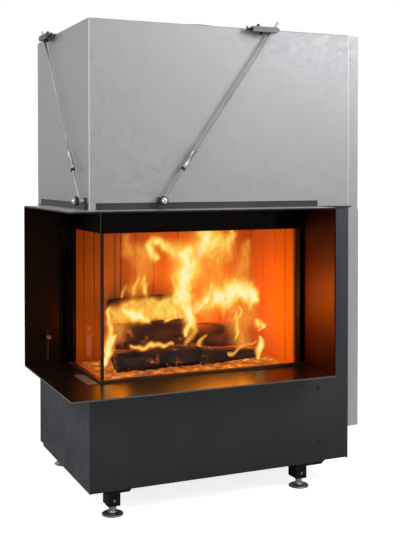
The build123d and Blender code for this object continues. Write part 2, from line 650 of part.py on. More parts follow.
def guide_rails():
    """Channels in which the door's carriages run, one on the right and one at the rear left."""
    half = GUIDE_WIDTH / 2
    x1 = SIDE_GUIDE_X + GUIDE_DEPTH
    side = block(SIDE_GUIDE_X, x1, SIDE_GUIDE_Y - half, SIDE_GUIDE_Y + half, Z_DECK, Z_GUIDE)
    side -= block(SIDE_GUIDE_X, x1 - GUIDE_WALL, SIDE_GUIDE_Y - half + GUIDE_WALL,
                  SIDE_GUIDE_Y + half - GUIDE_WALL, Z_DECK, Z_GUIDE)
    y1 = REAR_GUIDE_Y + GUIDE_DEPTH
    rear = block(REAR_GUIDE_X - half, REAR_GUIDE_X + half, REAR_GUIDE_Y, y1, Z_LEDGE, Z_GUIDE)
    rear -= block(REAR_GUIDE_X - half + GUIDE_WALL, REAR_GUIDE_X + half - GUIDE_WALL,
                  REAR_GUIDE_Y, y1 - GUIDE_WALL, Z_LEDGE, Z_GUIDE)
    return Compound([side, rear])


def door_glass():
    """Front and side panes that meet at the free corner."""
    front = block(GLASS_INSET_LEFT, STILE_X1 - ARM, GLASS_INSET_FRONT, GLASS_Y,
                  Z_GLASS, Z_DOOR_TOP)
    side = block(GLASS_INSET_LEFT, GLASS_X, GLASS_Y + CORNER_JOINT, REAR_STILE_Y1 - ARM,
                 Z_GLASS, Z_DOOR_TOP)
    return {"door_front_glass": front, "door_side_glass": side}


def door_bottom_rails():
    """Slim channels under the panes, each with a small pin, and the side one behind the front."""
    front = block(RAIL_X0, STILE_X1, RAIL_Y0, RAIL_Y1, Z_DOOR, Z_BOTTOM_RAIL)
    side = block(RAIL_X0, RAIL_X1, RAIL_Y1, REAR_STILE_Y1, Z_DOOR, Z_BOTTOM_RAIL)
    grown = RUN_GAP
    panes = block(GLASS_INSET_LEFT - grown, STILE_X1 - ARM + grown, GLASS_INSET_FRONT - grown,
                  GLASS_Y + grown, Z_GLASS, Z_BOTTOM_RAIL)
    panes += block(GLASS_INSET_LEFT - grown, GLASS_X + grown, GLASS_INSET_FRONT - grown,
                   REAR_STILE_Y1 - ARM + grown, Z_GLASS, Z_BOTTOM_RAIL)
    middle = (Z_DOOR + Z_BOTTOM_RAIL) / 2
    pins = [
        bar_y(RAIL_Y0 - RAIL_PIN_STAND, RAIL_Y0, RAIL_X0 + RAIL_PIN_FRONT_AT, middle,
              RAIL_PIN_RADIUS),
        bar_x(RAIL_X0 - RAIL_PIN_STAND, RAIL_X0, RAIL_Y0 + RAIL_PIN_SIDE_AT, middle,
              RAIL_PIN_RADIUS),
    ]
    return Compound([front - panes, side - panes] + pins)


def door_frame():
    """Top rails, which are troughs behind the panes, and the stiles at both ends."""
    wall = TOP_RAIL_WALL
    trough = Z_TOP_RAIL + wall
    top_front = block(GLASS_X, STILE_X1, GLASS_Y, BAR_Y, Z_TOP_RAIL, Z_DOOR_TOP)
    top_front -= block(GLASS_X + wall, STILE_X1 - wall, GLASS_Y + wall, BAR_Y - wall,
                       trough, Z_DOOR_TOP)
    top_side = block(GLASS_X, BAR_X, BAR_Y, REAR_STILE_Y1, Z_TOP_RAIL, Z_DOOR_TOP)
    top_side -= block(GLASS_X + wall, BAR_X - wall, BAR_Y + wall, REAR_STILE_Y1 - wall,
                      trough, Z_DOOR_TOP)
    right = block(STILE_X0, STILE_X1, GLASS_Y, BAR_Y, Z_BOTTOM_RAIL, Z_TOP_RAIL)
    right += block(STILE_X1 - ARM + RUN_GAP, STILE_X1, GLASS_INSET_FRONT, GLASS_Y,
                   Z_BOTTOM_RAIL, Z_TOP_RAIL)
    rear = block(GLASS_X, REAR_STILE_X1, REAR_STILE_Y0, REAR_STILE_Y1, Z_BOTTOM_RAIL, Z_TOP_RAIL)
    rear += block(REAR_ARM_X, GLASS_X, REAR_STILE_Y1 - ARM + RUN_GAP, REAR_STILE_Y1,
                  Z_BOTTOM_RAIL, Z_CARRIAGE)
    return Compound([top_front, top_side, right, rear])


def door_seals():
    """Rope seals on the rails and stiles, and the bead inside the glass corner."""
    z0 = Z_LINTEL + RUN_GAP
    z1 = z0 + SEAL_WIDTH
    front = block(BAR_X, STILE_X1, BAR_Y, BAR_Y + SEAL, z0, z1)
    side = block(BAR_X, BAR_X + SEAL, BAR_Y + SEAL, REAR_JAMB_Y - WALL - RUN_GAP - SEAL, z0, z1)
    right = block(STILE_X1 - SEAL_WIDTH, STILE_X1, BAR_Y, BAR_Y + SEAL, Z_BOTTOM_RAIL, Z_TOP_RAIL)
    rear = block(REAR_STILE_X1 - REAR_STILE_DEPTH + RUN_GAP, REAR_STILE_X1,
                 REAR_STILE_Y1, REAR_STILE_Y1 + SEAL, Z_BOTTOM_RAIL, Z_TOP_RAIL)
    bead = block(GLASS_X, GLASS_X + CORNER_BEAD, GLASS_Y, GLASS_Y + CORNER_BEAD,
                 Z_BOTTOM_RAIL, Z_TOP_RAIL)
    return Compound([front, side, right, rear, bead])


def door_carriages():
    """Slide blocks in the guides with the arms that carry the door."""
    z1 = Z_CARRIAGE
    z0 = z1 - CARRIAGE_HEIGHT
    reach = GUIDE_WIDTH / 2 - GUIDE_WALL - RUN_GAP
    side = block(SIDE_GUIDE_X + GUIDE_GAP, SIDE_GUIDE_X + GUIDE_DEPTH - GUIDE_WALL - RUN_GAP,
                 SIDE_GUIDE_Y - reach, SIDE_GUIDE_Y + reach, z0, z1)
    side += block(STILE_X1, SIDE_GUIDE_X + GUIDE_GAP, SIDE_GUIDE_Y - ARM, SIDE_GUIDE_Y + ARM,
                  z0, z1)
    rear = block(REAR_GUIDE_X - reach, REAR_GUIDE_X + reach, REAR_GUIDE_Y + GUIDE_GAP,
                 REAR_GUIDE_Y + GUIDE_DEPTH - GUIDE_WALL - RUN_GAP, z0, z1)
    rear += block(REAR_ARM_X, REAR_ARM_X + ARM, REAR_STILE_Y1, REAR_GUIDE_Y + GUIDE_GAP, z0, z1)
    return Compound([side, rear])


def counterweights():
    """Steel bars that balance the door, each with a short eye on top."""
    z0 = Z_WEIGHT - WEIGHT_HEIGHT
    half = REAR_WEIGHT_SIDE / 2
    rear = block(REAR_GUIDE_X - half, REAR_GUIDE_X + half, REAR_WEIGHT_Y - half,
                 REAR_WEIGHT_Y + half, z0, Z_WEIGHT)
    rear += bar_z(Z_WEIGHT, Z_WEIGHT + EYE_HEIGHT, REAR_GUIDE_X, REAR_WEIGHT_Y, EYE_RADIUS)
    half_x = SIDE_WEIGHT_WIDTH / 2
    half_y = SIDE_WEIGHT_DEPTH / 2
    side = block(SIDE_WEIGHT_X - half_x, SIDE_WEIGHT_X + half_x, SIDE_GUIDE_Y - half_y,
                 SIDE_GUIDE_Y + half_y, z0, Z_WEIGHT)
    side += bar_z(Z_WEIGHT, Z_WEIGHT + EYE_HEIGHT, SIDE_WEIGHT_X, SIDE_GUIDE_Y, EYE_RADIUS)
    return {"counterweight_rear": rear, "counterweight_right": side}


def pulley(radius):
    """Grooved pulley with its axis along Z, centred at the origin."""
    lip = radius + PULLEY_LIP
    floor = radius - CABLE_RADIUS - RUN_GAP
    wheel = Cylinder(lip, PULLEY_WIDTH)
    wheel -= Cylinder(2 * lip, 2 * GROOVE_HALF) - Cylinder(floor, 2 * GROOVE_HALF)
    return wheel - Cylinder(AXLE_RADIUS + SHAFT_GAP, PULLEY_WIDTH)


def pulleys():
    """One large pulley at the rear left and two small ones on the right."""
    rear = Pos(REAR_GUIDE_X, REAR_PULLEY_Y, Z_PULLEY) * Rot(0, 90, 0) * pulley(REAR_PULLEY)
    inner = Pos(INNER_PULLEY_X, SIDE_GUIDE_Y, Z_PULLEY) * Rot(90, 0, 0) * pulley(SIDE_PULLEY)
    outer = Pos(OUTER_PULLEY_X, SIDE_GUIDE_Y, Z_PULLEY) * Rot(90, 0, 0) * pulley(SIDE_PULLEY)
    return {"pulley_rear": rear, "pulley_right_inner": inner, "pulley_right_outer": outer}


def hanger():
    """Stirrup for one pulley with its axle along X, centred on the axle."""
    half = EAR_WIDTH / 2
    top = PULLEY_DROP
    shape = block(-EAR_AT - EAR, EAR_AT + EAR, -half, half, top - HANGER_TOP, top)
    for x0 in (-EAR_AT - EAR, EAR_AT):
        shape += block(x0, x0 + EAR, -half, half, -EAR_BELOW_AXLE, top - HANGER_TOP)
    return shape + bar_x(-EAR_AT - EAR, EAR_AT + EAR, 0, 0, AXLE_RADIUS)


def pulley_hangers():
    """The three stirrups under the housing top."""
    rear = Pos(REAR_GUIDE_X, REAR_PULLEY_Y, Z_PULLEY) * hanger()
    inner = Pos(INNER_PULLEY_X, SIDE_GUIDE_Y, Z_PULLEY) * Rot(0, 0, 90) * hanger()
    outer = Pos(OUTER_PULLEY_X, SIDE_GUIDE_Y, Z_PULLEY) * Rot(0, 0, 90) * hanger()
    return Compound([rear, inner, outer])


def cables():
    """Straight runs on the door side and weight side, and the bends over the pulleys."""
    z0 = Z_CARRIAGE
    door_side = [
        bar_z(z0, Z_PULLEY, SIDE_CABLE_X, SIDE_GUIDE_Y, CABLE_RADIUS),
        bar_z(z0, Z_PULLEY, REAR_GUIDE_X, REAR_CABLE_Y, CABLE_RADIUS),
    ]
    z1 = Z_WEIGHT + EYE_HEIGHT
    weight_side = [
        bar_z(z1, Z_PULLEY, SIDE_WEIGHT_X, SIDE_GUIDE_Y, CABLE_RADIUS),
        bar_z(z1, Z_PULLEY, REAR_GUIDE_X, REAR_WEIGHT_Y, CABLE_RADIUS),
    ]
    over_rear = CenterArc((0, 0), REAR_PULLEY, 0, 180)
    start = Plane(origin=(REAR_PULLEY, 0, 0), z_dir=(0, 1, 0))
    rear = sweep(start * Circle(CABLE_RADIUS), path=over_rear)
    rear_axle = (REAR_GUIDE_X, REAR_PULLEY_Y, Z_PULLEY)
    rear = Plane(origin=rear_axle, x_dir=(0, 1, 0), z_dir=(1, 0, 0)) * rear
    span = OUTER_PULLEY_X - INNER_PULLEY_X
    rise = CenterArc((0, 0), SIDE_PULLEY, 90, 90)
    across = Line((0, SIDE_PULLEY), (span, SIDE_PULLEY))
    fall = CenterArc((span, 0), SIDE_PULLEY, 0, 90)
    start = Plane(origin=(-SIDE_PULLEY, 0, 0), z_dir=(0, 1, 0))
    side = sweep(start * Circle(CABLE_RADIUS), path=Wire([rise, across, fall]))
    side = Pos(INNER_PULLEY_X, SIDE_GUIDE_Y, Z_PULLEY) * Rot(90, 0, 0) * side
    return {
        "cables_door_side": Compound(door_side),
        "cables_weight_side": Compound(weight_side),
        "cables_over_pulleys": Compound([rear, side]),
    }


def foot(x, y):
    """Levelling foot: bevelled disc, hub and spindle in one."""
    disc = chamfer(Cylinder(FOOT_RADIUS, FOOT_DISC).edges().group_by(Axis.Z)[-1], FOOT_BEVEL)
    shape = Pos(x, y, FOOT_DISC / 2) * disc
    hub_top = Z_BRACKET - FOOT_GAP
    shape += bar_z(FOOT_DISC, hub_top, x, y, FOOT_HUB_RADIUS)
    return shape + bar_z(hub_top, SPINDLE_TOP, x, y, SPINDLE_RADIUS)


def bracket_tab(x0, tab_y0, lip_y0):
    """Plate with an upright lip behind the skirt's edge, its lower corners cut off."""
    x1 = x0 + TAB_WIDTH
    z0 = Z_BASE - TAB_DROP
    plate = block(x0 + TAB_BEVEL, x1 - TAB_BEVEL, tab_y0, tab_y0 + TAB_DEPTH,
                  z0, z0 + BRACKET_WALL)
    lip = block(x0, x1, lip_y0, lip_y0 + BRACKET_WALL, z0, Z_FLOOR_PLATE)
    return plate + chamfer(lip.edges().filter_by(Axis.Y).group_by(Axis.Z)[0], TAB_BEVEL)


def foot_bracket(x, y, tab_left):
    """Box bracket under the floor plate with a wider tab behind the skirt's edge."""
    front = y < BASE_DEPTH / 2
    y0 = BRACKET_SETBACK if front else BASE_DEPTH - BRACKET_SETBACK - BRACKET_DEPTH
    y1 = y0 + BRACKET_DEPTH
    half = BRACKET_WIDTH / 2
    tab_y0 = y0 if front else y1 - TAB_DEPTH
    lip_y0 = y0 if front else y1 - BRACKET_WALL
    shape = block(x - half, x + half, y0, y1, Z_BRACKET, Z_FLOOR_PLATE)
    shape += bracket_tab(x - tab_left, tab_y0, lip_y0)
    shape -= block(x - half + BRACKET_WALL, x + half - BRACKET_WALL, y0 + BRACKET_WALL,
                   y1 - BRACKET_WALL, Z_BRACKET + BRACKET_WALL, Z_FLOOR_PLATE)
    hole = SPINDLE_RADIUS + SHAFT_GAP
    return shape - bar_z(Z_BRACKET, Z_BRACKET + BRACKET_WALL, x, y, hole)


def foot_brackets():
    """The four brackets; the tabs of the right-hand ones reach further right."""
    shapes = []
    for name, (x, y) in FEET.items():
        tab = TAB_LEFT_FOOT if name.endswith("left") else TAB_RIGHT_FOOT
        shapes.append(foot_bracket(x, y, tab))
    return Compound(shapes)


def body_screws():
    """Screw heads on the skirts and the bracket bolts."""
    heads = [
        bar_y(-SCREW_HEAD, 0, FRONT_SCREW_X, FRONT_SCREW_LOW, SCREW_RADIUS),
        bar_y(-SCREW_HEAD, 0, FRONT_SCREW_X, FRONT_SCREW_HIGH, SCREW_RADIUS),
        bar_x(-SCREW_HEAD, 0, SIDE_SCREW_Y, SIDE_SCREW_Z, SCREW_RADIUS),
    ]
    z = Z_BASE - BRACKET_BOLT_DROP
    for x in (FOOT_LEFT_X, FOOT_RIGHT_X):
        heads.append(bar_y(BRACKET_SETBACK - SCREW_HEAD, BRACKET_SETBACK, x, z,
                           BRACKET_BOLT_RADIUS))
        rear = BASE_DEPTH - BRACKET_SETBACK
        heads.append(bar_y(rear, rear + SCREW_HEAD, x, z, BRACKET_BOLT_RADIUS))
    return Compound(heads)


def air_spigot():
    """Combustion-air pipe through the rear skirt with its screwed-on flange."""
    pipe = bar_y(SPIGOT_Y0, SPIGOT_Y1, SPIGOT_X, SPIGOT_Z, SPIGOT_RADIUS)
    pipe += bar_y(BASE_DEPTH, BASE_DEPTH + SPIGOT_FLANGE_PLATE, SPIGOT_X, SPIGOT_Z,
                  SPIGOT_RADIUS + SPIGOT_FLANGE)
    pipe -= bar_y(SPIGOT_Y0, SPIGOT_Y1, SPIGOT_X, SPIGOT_Z, SPIGOT_RADIUS - SPIGOT_WALL)
    reach = SPIGOT_RADIUS + FLAP_SHAFT_PAST
    return pipe - bar_x(SPIGOT_X - reach, SPIGOT_X + reach, FLAP_Y, SPIGOT_Z,
                        FLAP_SHAFT_RADIUS + SHAFT_GAP)


def air_flap():
    """Butterfly disc on its shaft with the lever and pin, turned to the rest angle."""
    radius = SPIGOT_RADIUS - SPIGOT_WALL - FLAP_GAP
    disc = Pos(SPIGOT_X, 0, 0) * Rot(90, 0, 0) * Cylinder(radius, FLAP)
    disc = Rot(-math.degrees(LEVER_ANGLE + LEVER_SWING), 0, 0) * disc
    end = SPIGOT_X + SPIGOT_RADIUS + FLAP_SHAFT_PAST
    shaft = bar_x(LEVER_X, end, 0, 0, FLAP_SHAFT_RADIUS)
    lever = bar_x(LEVER_X, LEVER_X + LEVER, 0, 0, LEVER_HUB_RADIUS)
    lever += block(LEVER_X, LEVER_X + LEVER, -LEVER_ARM, 0, -LEVER_HUB_RADIUS / 2,
                   LEVER_HUB_RADIUS / 2)
    lever += bar_x(LEVER_X, LEVER_X + LEVER, -LEVER_ARM, 0, LEVER_HUB_RADIUS / 2)
    lever += bar_x(SLIDER_ROD_X - EYE_PLATE, LEVER_X, -LEVER_ARM, 0, LEVER_PIN_RADIUS)
    lever = Rot(-math.degrees(LEVER_ANGLE), 0, 0) * lever
    return Pos(0, FLAP_Y, SPIGOT_Z) * (disc + shaft + lever)


def air_knob():
    """Round knob in front of the slotted panel on a stem through the slot."""
    y1 = FRAME_REAR - KNOB_STAND
    knob = bar_y(y1 - KNOB_LENGTH, y1, KNOB_X, KNOB_Z, KNOB_RADIUS)
    return knob + bar_y(y1, SLIDER_Y0, KNOB_X, KNOB_Z, STEM_RADIUS)


def air_slider():
    """Block behind the panel, its arm into the body, and the rod with the slotted eye."""
    half = SLIDER_HEIGHT / 2
    shape = block(KNOB_X - SLOT_WIDTH, SLIDER_ROD_X + ROD_RADIUS, SLIDER_Y0, SLIDER_Y1,
                  KNOB_Z - half, KNOB_Z + half)
    eye_z = SPIGOT_Z + KNOB_Z - KNOB_MIDDLE
    slot_z = LEVER_PIN_RADIUS + EYE_SLACK
    slot_y = PIN_SWEEP / 2 + LEVER_PIN_RADIUS + DECK_HOLE_GAP
    rim = EYE_RIM
    x0 = SLIDER_ROD_X - EYE_PLATE / 2
    shape += bar_z(eye_z + slot_z, KNOB_Z - half, SLIDER_ROD_X, SLIDER_ROD_Y, ROD_RADIUS)
    shape += block(x0, x0 + EYE_PLATE, SLIDER_ROD_Y - slot_y - rim, SLIDER_ROD_Y + slot_y + rim,
                   eye_z - slot_z - rim, eye_z + slot_z + rim)
    return shape - block(SLIDER_ROD_X - ROD_RADIUS, SLIDER_ROD_X + ROD_RADIUS,
                         SLIDER_ROD_Y - slot_y, SLIDER_ROD_Y + slot_y,
                         eye_z - slot_z, eye_z + slot_z)


def strut(place, length):
    """Lower rod with its eye, upper rod and turnbuckle sleeve, from the bolt along Z."""
    split = SLEEVE_FROM_EYE + SLEEVE_LENGTH / 2
    eye = bar_y(-ROD_RADIUS, ROD_RADIUS, 0, 0, ROD_EYE_RADIUS)
    lower = eye + bar_z(0, split - ROD_END_GAP / 2, 0, 0, ROD_RADIUS)
    lower -= bar_y(-ROD_RADIUS, ROD_RADIUS, 0, 0, BOLT_RADIUS + SHAFT_GAP)
    upper = bar_z(split + ROD_END_GAP / 2, length + STRUT_TIP, 0, 0, ROD_RADIUS)
    z1 = SLEEVE_FROM_EYE + SLEEVE_LENGTH
    sleeve = bar_z(SLEEVE_FROM_EYE, z1, 0, 0, SLEEVE_RADIUS)
    sleeve -= bar_z(SLEEVE_FROM_EYE, z1, 0, 0, ROD_RADIUS + SHAFT_GAP)
    return place * lower, place * upper, place * sleeve


def strut_fittings(place):
    """Stud with its spacer, knurled knob and dome nut, outwards along -Y from the lug."""
    lug_y = STRUT_OFFSET - SHEET - LUG
    spacer_y = ROD_RADIUS + RUN_GAP
    knob_y = -ROD_RADIUS - RUN_GAP
    end_y = knob_y - STRUT_KNOB_LENGTH
    stud = bar_y(end_y, lug_y, 0, 0, BOLT_RADIUS)
    stud += bar_y(spacer_y, lug_y, 0, 0, SPACER_RADIUS)
    knob = bar_y(end_y, knob_y, 0, 0, STRUT_KNOB_RADIUS)
    knob -= bar_y(end_y, knob_y, 0, 0, BOLT_RADIUS)
    dome = Sphere(DOME_NUT_RADIUS, arc_size1=0, align=(Align.CENTER, Align.CENTER, Align.MIN))
    dome = Pos(0, end_y, 0) * Rot(90, 0, 0) * dome
    return place * stud, place * knob, place * dome


def clamp(lean):
    """Clamp bar along X that the leaning rod passes, with its tongue over the housing top."""
    x0 = CLAMP_PAST_ROD - CLAMP_LENGTH
    half = CLAMP_THICK / 2
    bar = block(x0, CLAMP_PAST_ROD, -half, half, 0, CLAMP_HEIGHT)
    bar = chamfer(bar.edges().filter_by(Axis.Y).sort_by(Axis.X)[-2:], CLAMP_BEVEL)
    bar += block(x0 + CLAMP_SCREW_RADIUS, -CLAMP_PAST_ROD, half, STRUT_OFFSET + CLAMP_LAP,
                 STRUT_HEAD_DROP, CLAMP_HEIGHT)
    return bar - Rot(0, lean, 0) * Cylinder(ROD_RADIUS + CLAMP_BORE_GAP, 4 * CLAMP_HEIGHT)


def clamp_screws():
    """Wing screw on the clamp's end and the round screws above and below it."""
    x0 = CLAMP_PAST_ROD - CLAMP_LENGTH
    z = CLAMP_HEIGHT / 2
    half = WING_PLATE / 2
    wing = bar_x(x0 - WING_STUD, x0, 0, z, ROD_RADIUS)
    plate = block(-WING_SPAN, 0, -half, half, -half, half)
    for tilt in (-WING_TILT, WING_TILT):
        wing += Pos(x0 - WING_STUD / 2, 0, z) * Rot(0, tilt, 0) * plate
    top_x = x0 + CLAMP_SCREW_TOP_AT
    low_x = x0 + CLAMP_SCREW_LOW_AT
    top = bar_z(CLAMP_HEIGHT, CLAMP_HEIGHT + CLAMP_SCREW_HEIGHT, top_x, 0, CLAMP_SCREW_RADIUS)
    low = bar_z(-CLAMP_SCREW_HEIGHT, 0, low_x, 0, CLAMP_SCREW_RADIUS)
    return [wing, top, low]


def strut_parts():
    """Both struts with their fittings and clamps; the left one is mirrored about the corner."""
    rods, knobs, bolts, clamps, screws = [], [], [], [], []
    sleeves = {}
    rise = Z_CLAMP - Z_STRUT
    ends = {"front": (FRONT_STRUT_LOW, FRONT_STRUT_HIGH), "left": (LEFT_STRUT_LOW, LEFT_STRUT_HIGH)}
    for side, (low, high) in ends.items():
        lean = math.degrees(math.atan2(high - low, rise))
        foot_at = Pos(low, -STRUT_OFFSET, Z_STRUT)
        head_at = Pos(high, -STRUT_OFFSET, Z_CLAMP)
        pieces = [*strut(foot_at * Rot(0, lean, 0), math.hypot(high - low, rise))]
        pieces += strut_fittings(foot_at)
        pieces.append(head_at * clamp(lean))
        pieces += [head_at * screw for screw in clamp_screws()]
        if side == "left":
            pieces = [mirror(piece, CORNER_PLANE) for piece in pieces]
        lower, upper, sleeve, stud, knob, dome, bar, *loose = pieces
        rods += [lower, upper]
        sleeves["strut_sleeve_" + side] = sleeve
        bolts += [stud, dome]
        knobs.append(knob)
        clamps.append(bar)
        screws += loose
    parts = {
        "strut_rods": Compound(rods),
        "strut_knobs": Compound(knobs),
        "strut_bolts": Compound(bolts),
        "strut_clamps": Compound(clamps),
        "clamp_screws": Compound(screws),
    }
    parts.update(sleeves)
    return parts


def blank_plate():
    """Plain plate lying on the ledge beside the side pane."""
    return block(TAG_X, TAG_X + TAG_WIDTH, TAG_Y, TAG_Y + TAG_LENGTH, Z_LEDGE, Z_LEDGE + TAG)


def all_parts():
    """Every sub-part by name, in the building frame."""
    parts = {"weight_casing": weight_casing(), "edge_flanges": edge_flanges()}
    for group in (housing_sheets(), frame_plates(), base_panels(), firebox_shell(),
                  door_glass(), counterweights(), pulleys(), cables(), strut_parts()):
        parts.update(group)
    parts["flue_collar"] = flue_collar()
    parts["fireclay_back_panels"] = back_lining()
    parts["fireclay_right_panels"] = right_lining()
    parts["fireclay_floor_bricks"] = floor_bricks()
    parts["baffle_plates"] = baffle_plates()
    parts["guide_rails"] = guide_rails()
    parts["door_bottom_rails"] = door_bottom_rails()
    parts["door_frame"] = door_frame()
    parts["door_seals"] = door_seals()
    parts["door_carriages"] = door_carriages()
    parts["pulley_hangers"] = pulley_hangers()
    parts["foot_brackets"] = foot_brackets()
    parts["body_screws"] = body_screws()
    parts["air_spigot"] = air_spigot()
    parts["air_flap"] = air_flap()
    parts["air_knob"] = air_knob()
    parts["air_slider"] = air_slider()
    parts["blank_plate"] = blank_plate()
    for name, (x, y) in FEET.items():
        parts["foot_" + name] = foot(x, y)
    return parts


os.makedirs("parts", exist_ok=True)
for name, shape in all_parts().items():
    export_step(Pos(-X_MIDDLE, -Y_MIDDLE, 0) * shape, "parts/" + name + ".step")
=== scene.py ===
import math

import bmesh
import bpy
import numpy as np
from mathutils import Matrix, Vector, noise


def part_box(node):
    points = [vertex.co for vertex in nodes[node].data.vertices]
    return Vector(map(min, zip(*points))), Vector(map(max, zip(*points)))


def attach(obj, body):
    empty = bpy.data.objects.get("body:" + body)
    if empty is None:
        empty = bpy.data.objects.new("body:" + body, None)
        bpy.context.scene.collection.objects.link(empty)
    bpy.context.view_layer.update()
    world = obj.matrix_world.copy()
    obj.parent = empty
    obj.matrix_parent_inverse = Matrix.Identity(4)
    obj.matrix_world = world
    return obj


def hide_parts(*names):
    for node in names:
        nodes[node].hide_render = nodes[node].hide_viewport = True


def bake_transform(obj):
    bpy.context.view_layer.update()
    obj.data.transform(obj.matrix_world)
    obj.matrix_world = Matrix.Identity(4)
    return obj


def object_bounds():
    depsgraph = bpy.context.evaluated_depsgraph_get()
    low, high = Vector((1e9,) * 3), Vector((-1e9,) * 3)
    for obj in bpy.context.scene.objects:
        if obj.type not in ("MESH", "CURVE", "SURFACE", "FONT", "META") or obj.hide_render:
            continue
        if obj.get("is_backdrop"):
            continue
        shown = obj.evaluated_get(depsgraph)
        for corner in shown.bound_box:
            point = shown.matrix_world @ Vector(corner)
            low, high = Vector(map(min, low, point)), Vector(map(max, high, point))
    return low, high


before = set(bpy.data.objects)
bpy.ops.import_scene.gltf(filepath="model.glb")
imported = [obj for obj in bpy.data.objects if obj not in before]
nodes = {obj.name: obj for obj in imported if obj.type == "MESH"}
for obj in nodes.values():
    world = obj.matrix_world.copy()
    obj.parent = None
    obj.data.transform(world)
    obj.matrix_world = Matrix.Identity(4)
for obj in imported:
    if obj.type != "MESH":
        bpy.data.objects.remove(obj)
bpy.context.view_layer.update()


# The photographer's camera stands in front, a metre up and to the left of the free glass corner,
# and looks level at the insert. The picture is the lower part of a wider one: the lens shift.
def shown(name, data):
    """A new object of the scene, at the origin."""
    made = bpy.data.objects.new(name, data)
    bpy.context.scene.collection.objects.link(made)
    return made


lens = bpy.data.cameras.new("view_lens")
lens.sensor_width = 36.0
lens.lens = 63.37
lens.shift_y = -0.1416
camera = shown("camera", lens)
camera.location = (-1.2743, -2.9925, 1.0542)
camera.rotation_euler = (math.radians(88.93), 0.0, math.radians(-23.8))
bpy.context.scene.camera = camera


# A studio floor and a plain surround: white to the eye, dimmer in what mirrors them and as light
# on the insert, with a broad soft lamp overhead, one on the right and a warmer one on the left.
def fill(socket, value):
    """Links a socket to the one that feeds it, or gives it a plain value."""
    if isinstance(value, bpy.types.NodeSocket):
        socket.id_data.links.new(value, socket)
    else:
        socket.default_value = value


def add(tree, kind, inputs=None, **settings):
    """One node of a tree: its settings, then its inputs by name or number, linked or set."""
    made = tree.nodes.new(kind)
    for key, value in settings.items():
        setattr(made, key, value)
    for key, value in (inputs or {}).items():
        fill(made.inputs[key], value)
    return made


def sums(tree, kind, *values):
    """The result of a sum on up to three values, each linked or plain."""
    return add(tree, "ShaderNodeMath", dict(enumerate(values)), operation=kind).outputs[0]


def set_shader(shader, **values):
    """The shader's own sockets by name, with underscores for spaces, linked or plain."""
    for key, value in values.items():
        fill(shader.inputs[key.replace("_", " ")], value)


def mesh_of(name, shape):
    """The mesh of a shape in the making, which is given up."""
    mesh = bpy.data.meshes.new(name)
    shape.to_mesh(mesh)
    shape.free()
    return mesh


white_light = (1, 1, 1, 1)
mirror_light, room_light, floor_light = 0.6, 0.36, 0.83
world = bpy.data.worlds.new("studio")
world.use_nodes = True
bpy.context.scene.world = world
surround = world.node_tree
surround.nodes.clear()
rays = add(surround, "ShaderNodeLightPath").outputs
seen = sums(surround, "MAXIMUM", rays["Is Camera Ray"], rays["Is Transmission Ray"])
mirrored = sums(surround, "MULTIPLY", rays["Is Glossy Ray"], mirror_light)
level = sums(surround, "MAXIMUM", sums(surround, "MAXIMUM", seen, mirrored), room_light)
sky = add(surround, "ShaderNodeBackground", {"Color": white_light, "Strength": level})
add(surround, "ShaderNodeOutputWorld", {"Surface": sky.outputs[0]})

floor_paint = bpy.data.materials.new("studio_floor_paint")
floor_paint.use_nodes = True
paint = floor_paint.node_tree
floor_rays = add(paint, "ShaderNodeLightPath").outputs
set_shader(paint.nodes["Principled BSDF"], Base_Color=(0.75, 0.75, 0.75, 1), Roughness=0.8,
           Specular_IOR_Level=0.1, Emission_Color=white_light,
           Emission_Strength=sums(paint, "MULTIPLY", floor_rays["Is Camera Ray"], floor_light))
floor_shape = bmesh.new()
bmesh.ops.create_grid(floor_shape, x_segments=8, y_segments=8, size=60.0)
studio_floor = shown("studio_floor", mesh_of("studio_floor", floor_shape))
studio_floor.data.materials.append(floor_paint)
studio_floor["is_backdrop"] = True

for name, place, target, size, watts, colour in (
        ("overhead_lamp", (0.3, -0.6, 3.4), (0.0, 0.0, 0.9), 2.6, 30.0, (1, 1, 1)),
        ("right_lamp", (2.2, -2.6, 2.6), (0.3, -0.2, 1.3), 1.8, 37.0, (1, 1, 1)),
        ("left_lamp", (-3.0, -0.9, 1.9), (-0.4, 0.0, 1.0), 1.8, 29.0, (1, 0.97, 0.93))):
    light = bpy.data.lights.new(name, "AREA")
    light.size = size
    light.energy = watts
    light.color = colour
    lamp = shown(name, light)
    lamp.location = place
    lamp.rotation_euler = (Vector(target) - Vector(place)).to_track_quat("-Z", "Y").to_euler()


# Upper housing: five sheets of galvanised steel, cut and folded, without paint. The zinc has a
# faint crystal pattern, and a painted highlight runs down the front sheet's two edge folds.
def finish_of(name):
    """A new material: the material itself, its tree, its shader and the Object coordinates."""
    made = bpy.data.materials.new(name)
    made.use_nodes = True
    tree = made.node_tree
    place = add(tree, "ShaderNodeTexCoord").outputs["Object"]
    return made, tree, tree.nodes["Principled BSDF"], place


def part_of(tree, vector, axis):
    """A vector's own X, Y or Z (0, 1 or 2)."""
    return add(tree, "ShaderNodeSeparateXYZ", {"Vector": vector}).outputs[axis]


def red_of(tree, colour):
    """A colour's red share, as a plain value."""
    return add(tree, "ShaderNodeSeparateColor", {"Color": colour}).outputs[0]


def stretched(tree, place, scale):
    """Object coordinates scaled by a different share along each axis."""
    return add(tree, "ShaderNodeMapping", {"Vector": place, "Scale": scale}).outputs[0]


def noise_in(tree, place, scale, detail=3.0, rough=0.55):
    """A noise value between 0 and 1."""
    return add(tree, "ShaderNodeTexNoise", {"Vector": place, "Scale": scale, "Detail": detail,
                                            "Roughness": rough}).outputs["Fac"]


def flakes_in(tree, place, scale):
    """A value between 0 and 1 that jumps from one small cell to the next."""
    cells = add(tree, "ShaderNodeTexVoronoi", {"Vector": place, "Scale": scale})
    return red_of(tree, cells.outputs["Color"])


def times(shade, share):
    """A colour made darker or lighter."""
    return [c * share for c in shade]


